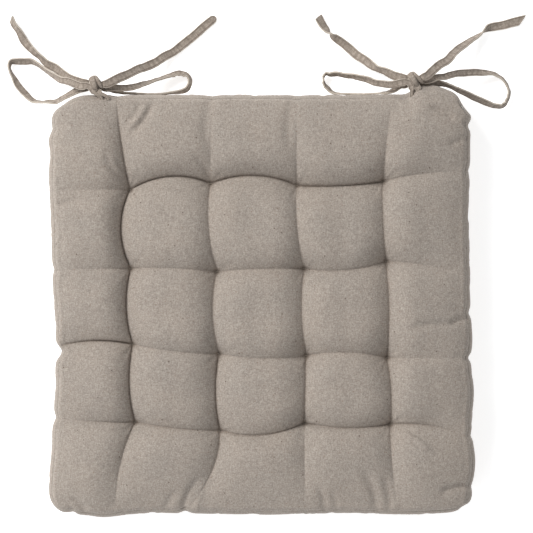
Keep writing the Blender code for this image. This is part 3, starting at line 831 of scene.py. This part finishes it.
def crease(start, end, bow, across, sharpness, saddle, pit, seam_at=None):
    """A crease's points and sharpness: up from a tuft to its saddle, then down again or to the seam."""
    t = STEPS
    place = start + (end - start) * t[:, None]
    place[:, 1 if across else 0] += bow * MM * 4 * t * (1 - t)
    if seam_at is None:
        near = 2 * np.minimum(t, 1 - t)
        height = pit + (saddle - pit) * (1 - (1 - near) ** 2.8)
    else:
        from_tuft = t if seam_at == 1 else 1 - t
        seam_z = TOP_SEAM_Z if saddle > pit else BOTTOM_SEAM_Z
        near = np.minimum(from_tuft / RUN_OUT, 1.0)
        rise = pit + (saddle - pit) * (1 - (1 - near) ** 2.8)
        beyond = np.clip((from_tuft - RUN_OUT) / (1 - RUN_OUT), 0, 1)
        height = rise + (seam_z - saddle) * (1 - (1 - beyond ** 2.4) ** 0.5)
    length = np.linalg.norm(end - start)
    from_end = np.minimum(t, 1 - t) if seam_at is None else from_tuft
    pinch = np.exp(-from_end * length / PINCH)
    fading = 0.0 if seam_at is None else (1.2 - sharpness) * from_end ** 2
    sharp = sharpness * (1 - fading) + (1 - sharpness) * pinch
    return np.column_stack((place, height)), sharp


def edge_rise(away, sharp):
    """How a pocket rises from a crease: steeply from a sharp one, gently from a soft one."""
    steep = np.maximum(1 - np.clip(1 - away, 0, 1) ** 2.3, 0) ** 0.62
    gentle = away * away * (3 - 2 * away)
    share = np.clip((sharp - 0.3) / 0.7, 0, 1) ** 1.2
    return share * steep + (1 - share) * gentle


def pocket(top, bottom, left, right, crown, flat=0.0):
    """One pocket: a surface through its four sides, blown up to its crown."""
    (top, s_top), (bottom, s_bottom), (left, s_left), (right, s_right) = top, bottom, left, right
    u = STEPS[None, :, None]
    v = STEPS[:, None, None]
    base = (1 - v) * top[None] + v * bottom[None] + (1 - u) * left[:, None] + u * right[:, None]
    base -= (1 - u) * (1 - v) * top[0] + u * (1 - v) * top[-1] + (1 - u) * v * bottom[0] + u * v * bottom[-1]
    u, v = u[..., 0], v[..., 0]
    rise_u = np.where(u < 0.5, edge_rise(2 * u, s_left[:, None]), edge_rise(2 * (1 - u), s_right[:, None]))
    rise_v = np.where(v < 0.5, edge_rise(2 * v, s_top[None, :]), edge_rise(2 * (1 - v), s_bottom[None, :]))
    middle = base[FACES // 2, FACES // 2, 2]
    swell = (rise_u * rise_v) ** 0.85
    if flat:
        swell = np.minimum(swell * (1 + flat), 1.0 - 0.02 * (1 - swell))
    base[..., 2] += (crown - middle) * swell
    return base


def panel(runs, pit, crown, saddle_of, seam_z, soften=1.0, flat=0.0):
    """The whole top or bottom: a grid of points, row by row from the rear, pocket by pocket."""
    stops = [run[0][0] for run in runs]
    nodes = [[None] * (CELLS + 1) for _ in range(CELLS + 1)]
    for k in range(CELLS + 1):
        nodes[0][k] = stops[k]
        nodes[k][CELLS] = stops[CELLS + k]
        nodes[CELLS][CELLS - k] = stops[2 * CELLS + k]
        nodes[CELLS - k][0] = stops[(3 * CELLS + k) % (4 * CELLS)]
    for r, c in TUFTS:
        nodes[r][c] = tuft(r, c)

    def rim(k, backwards=False):
        place = runs[k][0][::-1] if backwards else runs[k][0]
        return np.column_stack((place, np.full(FACES + 1, seam_z))), np.ones(FACES + 1)

    def inner(ends, place, bow_and_sharp, is_across):
        bow, sharp = bow_and_sharp
        sharp *= soften
        seam_at = {0: 0, CELLS - 1: 1}.get(place)
        return crease(*ends, bow, is_across, sharp, saddle_of(sharp), pit, seam_at)

    def across(r, c):
        if r == 0:
            return rim(c)
        if r == CELLS:
            return rim(3 * CELLS - 1 - c, True)
        return inner((nodes[r][c], nodes[r][c + 1]), c, ACROSS[r - 1][c], True)

    def down(r, c):
        if c == 0:
            return rim(4 * CELLS - 1 - r, True)
        if c == CELLS:
            return rim(CELLS + r)
        return inner((nodes[r][c], nodes[r + 1][c]), r, DOWN[c - 1][r], False)

    side = CELLS * FACES + 1
    grid = np.zeros((side, side, 3))
    sharpness = np.zeros((side, side))
    for r in range(CELLS):
        for c in range(CELLS):
            rows = slice(r * FACES, (r + 1) * FACES + 1)
            columns = slice(c * FACES, (c + 1) * FACES + 1)
            edges = (across(r, c), across(r + 1, c), down(r, c), down(r, c + 1))
            height = crown
            if crown > pit:
                height += CROWN_UNEVEN * waver(2, 3.1 * r, 2.7 * c)
            grid[rows, columns] = pocket(*edges, height, flat)
            sharpness[r * FACES, columns] = np.maximum(sharpness[r * FACES, columns], edges[0][1])
            sharpness[rows, c * FACES] = np.maximum(sharpness[rows, c * FACES], edges[2][1])
    return grid, sharpness


def rim_order(last=CELLS * FACES):
    """The grid places round a panel's edge, clockwise from the rear left, as (row, column)."""
    rear = [(0, k) for k in range(last)]
    right = [(k, last) for k in range(last)]
    front = [(last, last - k) for k in range(last)]
    left = [(last - k, 0) for k in range(last)]
    return rear + right + front + left


def band(top_rim, bottom_rim, outward):
    """The side band as rows of points from the top seam to the bottom seam, bellied and a little crumpled."""
    rows = []
    for w in range(BAND_ROWS + 1):
        share = w / BAND_ROWS
        belly = (1 - (2 * share - 1) ** 2) ** 0.62
        row = top_rim * (1 - share) + bottom_rim * share
        crumple = [CRUMPLE * waver(4, x / 0.016, y / 0.016, z / 0.05) for x, y, z in row]
        row[:, :2] += outward * (belly * (BULGE_OUT + np.array(crumple)))[:, None]
        rows.append(row)
    return np.array(rows)


def row_by_row(columns, start=0):
    """The index of a point in a grid that is listed row by row, from this number on."""
    return lambda i, j: start + i * columns + j


def grid_faces(rows, columns, index, flip=False):
    """Quads over a grid, whose points index(row, column) gives."""
    faces = []
    for i in range(rows - 1):
        for j in range(columns - 1):
            face = (index(i, j), index(i + 1, j), index(i + 1, j + 1), index(i, j + 1))
            faces.append(tuple(reversed(face)) if flip else face)
    return faces


def add_wrinkles(grid):
    """Presses the small wrinkles into the top and raises the little ridges between them."""
    x, y = grid[..., 0], grid[..., 1]
    for x0, y0, x1, y1, width, height in WRINKLES:
        start = np.array((x0, y0)) * MM
        way = np.array((x1, y1)) * MM - start
        length = np.linalg.norm(way)
        way /= length
        along = (x - start[0]) * way[0] + (y - start[1]) * way[1]
        aside = (x - start[0]) * -way[1] + (y - start[1]) * way[0]
        curve = 0.06 * length * np.sin(np.pi * np.clip(along / length, 0, 1))
        ends = np.clip(np.minimum(along, length - along) / (0.3 * length) + 0.35, 0, 1)
        grid[..., 2] += height * WRINKLE_DEPTH * np.exp(-((aside - curve) / (width * MM)) ** 2) * ends


# ---------------------------------------------------------------- cloth simulation

SIMULATED_FRAMES = 18
MOST_MOVE = 5.0 * MM
CLOTH = {
    "quality": 6,
    "mass": 0.2,
    "tension_stiffness": 14,
    "compression_stiffness": 9,
    "shear_stiffness": 5,
    "bending_stiffness": 0.6,
    "use_pressure": True,
    "uniform_pressure_force": 2.2,
    "shrink_min": -0.008,     # the cloth is this much wider than the space it is pinned over
    "vertex_group_mass": "held",
    "pin_stiffness": 1.0,
}


def relax(points, faces, holds):
    """Blows the cloth up a little between its tufts, creases and seams, and lets it wrinkle."""
    soft = mesh_object("simulated_cloth", points, faces, CANVAS)
    group = soft.vertex_groups.new(name="held")
    for level in np.unique(np.round(holds, 2)):
        chosen = np.flatnonzero(np.round(holds, 2) == level).tolist()
        group.add(chosen, float(level), "REPLACE")
    cloth = soft.modifiers.new("cloth", "CLOTH")
    for key, value in CLOTH.items():
        setattr(cloth.settings, key, value)
    cloth.settings.effector_weights.gravity = 0
    cloth.collision_settings.use_collision = False
    cloth.point_cache.frame_start = 1
    cloth.point_cache.frame_end = SIMULATED_FRAMES
    for step in range(1, SIMULATED_FRAMES + 1):
        bpy.context.scene.frame_set(step)
    shape = soft.evaluated_get(bpy.context.evaluated_depsgraph_get()).to_mesh()
    found = np.empty(len(shape.vertices) * 3)
    shape.vertices.foreach_get("co", found)
    bpy.data.objects.remove(soft, do_unlink=True)
    bpy.context.scene.frame_set(1)
    before = np.asarray(points)
    move = found.reshape(-1, 3) - before
    size = np.maximum(np.linalg.norm(move, axis=1)[:, None], 1e-9)
    return before + move * (MOST_MOVE * np.tanh(size / MOST_MOVE) / size)


# ---------------------------------------------------------------- pad pieces

CLOTH_THICKNESS = 0.9 * MM
BAND_CUT = 42 * MM            # the width that a side band was cut to
HOLD_CREASE = 0.55
HOLD_SEAM = 0.8
HOLD_BAND = 0.25
PLEAT_START = 2.5 * MM
PLEAT_REACH = 15.0 * MM
PLEAT_HEIGHT = 0.9 * MM
LUMP_HEIGHT = 0.45 * MM
CLEFT_DEPTH = 2.4 * MM
CLEFT_SHARES = (0.5, 0.15)    # how much of a cleft, or of its painted shade, reaches the next lines of points
PAINTED_SHADE_SHARES = (0.55, 0.12)
SEAM_RIDGE = 0.55 * MM
EVENING_ROUNDS = 16
TUFT_HOLD = 2.6 * MM          # within this of a tuft the cloth is held fast
TUFT_CALM = 4.5 * MM          # and a cleft fades out about this far from it
TUFT_PAINTED_SHADE = 3.2 * MM          # painted shade darkens the cloth as far as this
LUMP_SIZES = (21 * MM, 8 * MM)
PUCKER_HEIGHT = 0.9 * MM
PUCKER_REACH = 5.0 * MM
PUCKER_LENGTH = 5.5 * MM
RIDGE_INSET = 3.2 * MM        # the seam allowance's ridge, from the seam
RIDGE_WIDTH = 1.8 * MM


def top_saddle(sharp):
    """How high a crease of the top rises between its tufts: lower where it is sharper."""
    return (55.5 - 10.5 * sharp) * MM


def under_saddle(sharp):
    """How far a crease of the underside stays off the seat: further where it is sharper."""
    return (3.0 + 4.0 * sharp) * MM


def hold_weights(grid, sharpness, rim):
    """How firmly each point of the top is held: its tufts, its creases and its seam."""
    holds = HOLD_CREASE * sharpness ** 1.5
    holds[holds < 0.1] = 0.0
    for r, c in TUFTS:
        off = np.hypot(grid[..., 0] - tuft(r, c)[0], grid[..., 1] - tuft(r, c)[1])
        holds[off < TUFT_HOLD] = 1.0
    for i, j in rim:
        holds[i, j] = HOLD_SEAM
    return holds


def halfway(points, axis, closed):
    """The points with a new one between each two, on a smooth curve through their neighbours."""
    points = np.moveaxis(points, axis, 0)
    if closed:
        before, after = points[-1:], points[:2]
    else:
        before, after = 2 * points[:1] - points[1:2], 2 * points[-1:] - points[-2:-1]
    padded = np.concatenate((before, points, after))
    count = len(points) if closed else len(points) - 1
    a, b, c, d = (padded[k:k + count] for k in range(4))
    made = np.empty((len(points) + count, *points.shape[1:]))
    made[0::2] = points
    made[1::2] = (9 * (b + c) - a - d) / 16
    return np.moveaxis(made, 0, axis)


def refined(grid, closed=False):
    return halfway(halfway(grid, 0, False), 1, closed)


def refined_sharpness(sharpness):
    """Sharpness on the finer grid: only the crease lines have any."""
    fine = np.zeros([2 * n - 1 for n in sharpness.shape])
    fine[::2, ::2] = sharpness
    down = (sharpness[:-1] + sharpness[1:]) / 2 * (np.minimum(sharpness[:-1], sharpness[1:]) > 0)
    beside = sharpness[:, :-1], sharpness[:, 1:]
    across = (beside[0] + beside[1]) / 2 * (np.minimum(*beside) > 0)
    fine[1::2, ::2] = down
    fine[::2, 1::2] = across
    return fine


def spread(lines, shares):
    """Carries each line's value to the lines beside it, by these shares."""
    spread_out = lines.copy()
    for steps, share in enumerate(shares, start=1):
        for axis in (0, 1):
            for way in (steps, -steps):
                moved = np.roll(lines, way, axis)
                edge = [slice(None), slice(None)]
                edge[axis] = slice(0, steps) if way > 0 else slice(-steps, None)
                moved[tuple(edge)] = 0
                spread_out = np.maximum(spread_out, moved * share)
    return spread_out


def crease_lines(sharpness):
    """The inner creases' sharpness, with none at the seam or on a tuft."""
    lines = sharpness.copy()
    lines[0] = lines[-1] = 0
    lines[:, 0] = lines[:, -1] = 0
    return lines


def finish_top(grid, sharpness):
    """Clefts along the creases, wrinkles, pleats round the tufts, seam puckers and faint lumps; returns where
    painted shade darkens the creases and tufts.
    """
    lines = crease_lines(sharpness)
    lift = -CLEFT_DEPTH * spread(lines ** 2.5, CLEFT_SHARES)
    # Painted shade along the sharp creases
    painted_shade = spread(lines ** 2.5, PAINTED_SHADE_SHARES)
    pleat_lift = np.zeros_like(lift)
    for r, c in TUFTS:
        dx, dy = grid[..., 0] - tuft(r, c)[0], grid[..., 1] - tuft(r, c)[1]
        off = np.hypot(dx, dy)
        lift *= 1 - np.exp(-((off / TUFT_CALM) ** 2))
        # Painted shade round each tuft: a dark dot over its pit
        painted_shade = np.maximum(painted_shade, np.exp(-((off / TUFT_PAINTED_SHADE) ** 4)))
        turn = np.arctan2(dy, dx)
        phase = 2.1 * r + 1.3 * c
        pleats = np.sin(7 * turn + phase) + 0.6 * np.sin(11 * turn - 2 * phase)
        fade = np.clip((off - PLEAT_START) / (4 * MM), 0, 1) * np.exp(-((off / PLEAT_REACH) ** 2))
        pleat_lift += 0.55 * PLEAT_HEIGHT * pleats * fade
    edge = seam_distance(grid)
    ridge = np.exp(-(((edge - RIDGE_INSET) / RIDGE_WIDTH) ** 2)) * SEAM_RIDGE
    pucker = np.exp(-edge / PUCKER_REACH) * np.clip(edge / MM, 0, 1)
    broad, small = LUMP_SIZES
    for i, j in np.ndindex(edge.shape):
        x, y, _z = grid[i, j]
        lift[i, j] += LUMP_HEIGHT * waver(6, x / broad, y / broad)
        lift[i, j] += 0.3 * LUMP_HEIGHT * waver(7, x / small, y / small)
        if pucker[i, j] > 0.05:
            lift[i, j] += PUCKER_HEIGHT * pucker[i, j] * waver(8, x / PUCKER_LENGTH, y / PUCKER_LENGTH)
    grid[..., 2] += lift + pleat_lift + ridge
    add_wrinkles(grid)
    return painted_shade


def evened(moves, sharpness):
    """The moves of the top's points made smooth, save along its sharp creases and its seam."""
    keep = np.clip((spread(sharpness, CLEFT_SHARES) - 0.3) / 0.4, 0, 1)[1:-1, 1:-1, None]
    for _ in range(EVENING_ROUNDS):
        beside = moves[:-2, 1:-1] + moves[2:, 1:-1] + moves[1:-1, :-2] + moves[1:-1, 2:]
        moves[1:-1, 1:-1] = keep * moves[1:-1, 1:-1] + (1 - keep) * beside / 4
    return moves


def seam_distance(grid):
    """About how far each point of a panel is from the panel's own edge."""
    rear = np.abs(grid[..., 1] - grid[0, :, 1][None, :])
    front = np.abs(grid[..., 1] - grid[-1, :, 1][None, :])
    left = np.abs(grid[..., 0] - grid[:, 0, 0][:, None])
    right = np.abs(grid[..., 0] - grid[:, -1, 0][:, None])
    return np.minimum(np.minimum(rear, front), np.minimum(left, right))


def make_pad():
    """The top, the bands and the underside, worked out together and then parted at their seams."""
    runs = outline_runs()
    rim = rim_order()
    outward = np.array([way for _place, ways in runs for way in ways[:-1]])
    grid, sharpness = panel(runs, PIT_Z, CROWN_Z, top_saddle, TOP_SEAM_Z)
    under, _ = panel(runs, UNDER_PIT_Z, REST_Z, under_saddle, BOTTOM_SEAM_Z, soften=0.6, flat=0.25)

    side = grid.shape[0]
    top_rim = np.array([grid[i, j] for i, j in rim])
    under_rim = np.array([under[i, j] for i, j in rim])
    rows = band(top_rim, under_rim, outward)
    around = len(rim)
    rim_index = [i * side + j for i, j in rim]

    def band_index(w, k):
        k %= around
        return rim_index[k] if w == 0 else side * side + (w - 1) * around + k

    points = np.vstack((grid.reshape(-1, 3), rows[1:].reshape(-1, 3)))
    faces = grid_faces(side, side, row_by_row(side))
    faces += grid_faces(BAND_ROWS + 1, around + 1, band_index, flip=True)
    holds = hold_weights(grid, sharpness, rim).ravel()
    holds = np.concatenate((holds, np.full((BAND_ROWS - 1) * around, HOLD_BAND), np.ones(around)))
    moves = np.zeros_like(points)
    moves = relax(points, faces, holds) - points
    moves[: side * side] = evened(moves[: side * side].reshape(side, side, 3), sharpness).reshape(-1, 3)
    points = points + moves
    grid = refined(points[: side * side].reshape(side, side, 3))
    rows = np.vstack((points[rim_index][None], points[side * side:].reshape(BAND_ROWS, around, 3)))
    rows = refined(rows, closed=True)
    under = refined(under)
    under[..., 2] = np.maximum(under[..., 2], REST_Z)
    painted_shade = finish_top(grid, refined_sharpness(sharpness))
    for k, (i, j) in enumerate(rim_order(len(grid) - 1)):
        rows[0, k] = grid[i, j]
        rows[-1, k] = under[i, j]
    return grid, rows, under, painted_shade


def cover_piece(name, grid, node, cloth, flip=False):
    """One cut of the cover, from the grid of its outer face, as thick as the cloth on the inner side."""
    rows, columns = grid.shape[:2]
    faces = grid_faces(rows, columns, row_by_row(columns), flip)
    piece = mesh_object(name, grid.reshape(-1, 3), faces, CANVAS, cloth.reshape(-1, 3))
    thicker = piece.modifiers.new("thickness", "SOLIDIFY")
    thicker.thickness = CLOTH_THICKNESS
    thicker.offset = -1.0
    settle(piece, "pad", "canvas", node)
    return piece


def place_pad(grid, rows, under, painted_shade):
    """The cover's pieces: the top, with the painted shade of its creases and tufts, the underside and the
    four bands.
    """
    top = cover_piece("top_cover", grid, "top_panel", grid * (1, 1, 0.2))
    # Painted shade of the creases and tufts, kept on the top as a point attribute
    layer = top.data.attributes.new(PAINTED_SHADE_LAYER, "FLOAT", "POINT")
    layer.data.foreach_set("value", painted_shade.astype(np.float32).ravel())

    cloth = under * (1, 1, 0.2) + (0.5, 0.3, 0)
    cover_piece("under_cover", under, "bottom_panel", cloth, flip=True)

    along = len(grid) - 1
    wrapped = np.concatenate((rows, rows[:, :1]), axis=1)
    for number, name in enumerate(("rear", "right", "front", "left")):
        part = wrapped[:, number * along:(number + 1) * along + 1]
        cloth = np.zeros_like(part)
        cloth[..., 0] = runs_along(part[0])[None, :] + 0.7 * number
        cloth[..., 1] = -np.linspace(0, BAND_CUT, len(part))[:, None]
        cover_piece(f"{name}_band", part, f"side_band_{name}", cloth, flip=True)


PLY_SIDES = 7
PLY_RADIUS = 0.33 * MM
PLY_OFFSET = 0.27 * MM        # from the twine's middle line to a ply's own
PLY_TURN = 2.4 * MM           # of twine for each full turn of its plies
TWINE_STEP = 0.28 * MM
TWINE_BEND = 0.8 * MM


def ply(centre_line, frames, twist, start):
    """One ply of the twine: a thin strand that winds round the middle line."""
    points = []
    run = 0.0
    for i, (here, (one, other)) in enumerate(zip(centre_line, frames)):
        run += np.linalg.norm(here - centre_line[max(i - 1, 0)])
        turn = start + run * twist
        middle = here + (one * math.cos(turn) + other * math.sin(turn)) * PLY_OFFSET
        for k in range(PLY_SIDES):
            angle = k * math.tau / PLY_SIDES
            points.append(middle + (one * math.cos(angle) + other * math.sin(angle)) * PLY_RADIUS)
    return points, ring_faces(len(centre_line), PLY_SIDES, closed=True)


def twine_loop(half, bottom, top):
    """A closed upright loop with bent corners, as even steps of (across, height), and its whole length."""
    flat = []
    corners = ((half, top), (half, bottom), (-half, bottom), (-half, top))
    for number, (x, z) in enumerate(corners):
        middle_x = x - math.copysign(TWINE_BEND, x)
        middle_z = z - TWINE_BEND if z == top else z + TWINE_BEND
        for angle in np.linspace(90, 0, 6):
            turn = math.radians(angle - 90 * number)
            flat.append((middle_x + TWINE_BEND * math.cos(turn), middle_z + TWINE_BEND * math.sin(turn)))
    flat = np.array(flat + flat[:1])
    run = runs_along(flat)
    stops = np.linspace(0, run[-1], int(run[-1] / TWINE_STEP), endpoint=False)
    return read_at(stops, run, flat), run[-1]


def make_tuft_stitch(row, column):
    """A loop of two-ply twine through the pad, drawn tight over the cloth at both ends."""
    low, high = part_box(f"tuft_thread_{row}_{column}")
    middle = np.array(((low.x + high.x) / 2, (low.y + high.y) / 2, 0.0))
    half = (high.x - low.x) / 2 - TWINE_RADIUS
    flat, length = twine_loop(half, low.z + TWINE_RADIUS, high.z - TWINE_RADIUS)
    lean = 0.6 * waver(9, 1.7 * row, 2.3 * column)
    across = np.array((math.cos(lean), math.sin(lean), 0.0))
    side = np.array((-math.sin(lean), math.cos(lean), 0.0))
    heading = np.roll(flat, -1, axis=0) - np.roll(flat, 1, axis=0)
    heading /= np.linalg.norm(heading, axis=1)[:, None]
    line = [middle + across * x + np.array((0, 0, z)) for x, z in flat]
    frames = [(across * -hz + np.array((0, 0, hx)), side) for hx, hz in heading]
    twist = round(length / PLY_TURN) * math.tau / length
    points, faces = join(ply(line, frames, twist, start) for start in (0.0, math.pi))
    stitch = mesh_object(f"tuft_stitch_{row}_{column}", points, faces, TWINE)
    settle(stitch, "pad", "twine", f"tuft_thread_{row}_{column}")


WADDING_STRIDE = 6            # every so many points of the cover
WADDING_INSET = 3.0 * MM
FLUFF_HEIGHT = 0.5 * MM
FLUFF_SIZE = 12 * MM


def sunken(grid, reach):
    """The panel with each point lowered to the lowest one within reach of it, so that no dent is missed."""
    height = np.pad(grid[..., 2], reach, mode="edge")
    side = len(grid)
    lowered = grid.copy()
    for down in range(2 * reach + 1):
        for along in range(2 * reach + 1):
            shifted = height[down:down + side, along:along + side]
            lowered[..., 2] = np.minimum(lowered[..., 2], shifted)
    return lowered


def make_wadding(grid, rows, under):
    """The filling: one closed body a little inside the cover, following every pocket."""
    top = sunken(grid, WADDING_STRIDE)[::WADDING_STRIDE, ::WADDING_STRIDE]
    bottom = under[::WADDING_STRIDE, ::WADDING_STRIDE]
    side = top.shape[0]
    middle_rows = rows[4:-1:4, ::WADDING_STRIDE]
    rim = rim_order(side - 1)
    around = len(rim)
    rim_index = [i * side + j for i, j in rim]
    points = np.vstack((top.reshape(-1, 3), bottom.reshape(-1, 3), middle_rows.reshape(-1, 3)))
    base = 2 * side * side

    def ring(level, k):
        k %= around
        if level == 0:
            return rim_index[k]
        if level == len(middle_rows) + 1:
            return side * side + rim_index[k]
        return base + (level - 1) * around + k

    faces = grid_faces(side, side, row_by_row(side))
    faces += grid_faces(side, side, row_by_row(side, side * side), flip=True)
    faces += grid_faces(len(middle_rows) + 2, around + 1, ring, flip=True)
    filling = mesh_object("wadding", points, faces, FIBRE)
    normals = np.array([v.normal for v in filling.data.vertices])
    fluff = np.array([FLUFF_HEIGHT * waver(11, *(p / FLUFF_SIZE)) for p in points])
    moved = points - normals * (WADDING_INSET + np.abs(fluff))[:, None]
    filling.data.vertices.foreach_set("co", moved.ravel())
    settle(filling, "pad", "fibre", "filling")


top_grid, band_rows, under_grid, top_painted_shade = make_pad()
place_pad(top_grid, band_rows, under_grid, top_painted_shade)
make_wadding(top_grid, band_rows, under_grid)
for place_in_grid in TUFTS:
    make_tuft_stitch(*place_in_grid)

# ---------------------------------------------------------------- studio


FLOOR_HALF = 6.0
FLOOR_GLOW = 0.60       # keeps the floor white without washing out the pad's shadow
AIM = Vector((0.0, 0.0, 0.03))
KEY = {"place": (-2.5, 2.05, 2.8), "size": 1.8, "power": 145.0, "colour": (1.0, 0.985, 0.965)}
FILL = {"place": (-0.9, -1.3, 1.0), "size": 1.2, "power": 7.0, "colour": (0.98, 0.985, 1.0)}
SKY_COLOUR = (0.97, 0.985, 1.0, 1.0)
SKY_STRENGTH = 0.41


def floor_material():
    """Matt white paper, a little uneven."""
    tree = Tree("studio_floor")
    place = tree.node("TexCoord").outputs["Object"]
    dust = tree.noise(place, 6.0, 3.0)
    colour = tree.mix(tree.ramp(dust, 0.3, 0.7), (0.90, 0.90, 0.90, 1.0), (0.93, 0.93, 0.93, 1.0))
    tree.link(colour, tree.shader.inputs["Base Color"])
    tree.shader.inputs["Roughness"].default_value = 0.9
    tree.shader.inputs["Specular IOR Level"].default_value = 0.1
    tree.shader.inputs["Emission Color"].default_value = (1.0, 1.0, 1.0, 1.0)
    tree.shader.inputs["Emission Strength"].default_value = FLOOR_GLOW
    return tree.material


def make_floor():
    half = FLOOR_HALF
    points = ((-half, -half, 0), (half, -half, 0), (half, half, 0), (-half, half, 0))
    floor = mesh_object("studio_floor", points, ((0, 1, 2, 3),), floor_material())


def area_light(name, place, size, power, colour):
    """A square soft light that faces the pad."""
    data = bpy.data.lights.new(name, "AREA")
    data.shape = "SQUARE"
    data.size = size
    data.energy = power
    data.color = colour
    lamp = bpy.data.objects.new(name, data)
    lamp.location = place
    lamp.rotation_euler = (AIM - Vector(place)).to_track_quat("-Z", "Y").to_euler()
    bpy.context.scene.collection.objects.link(lamp)


def make_light():
    area_light("key", **KEY)
    area_light("fill", **FILL)
    world = bpy.data.worlds.new("studio")
    world.use_nodes = True
    background = world.node_tree.nodes["Background"]
    background.inputs["Color"].default_value = SKY_COLOUR
    background.inputs["Strength"].default_value = SKY_STRENGTH
    bpy.context.scene.world = world
    bpy.context.scene.view_settings.view_transform = "Standard"


make_floor()
make_light()
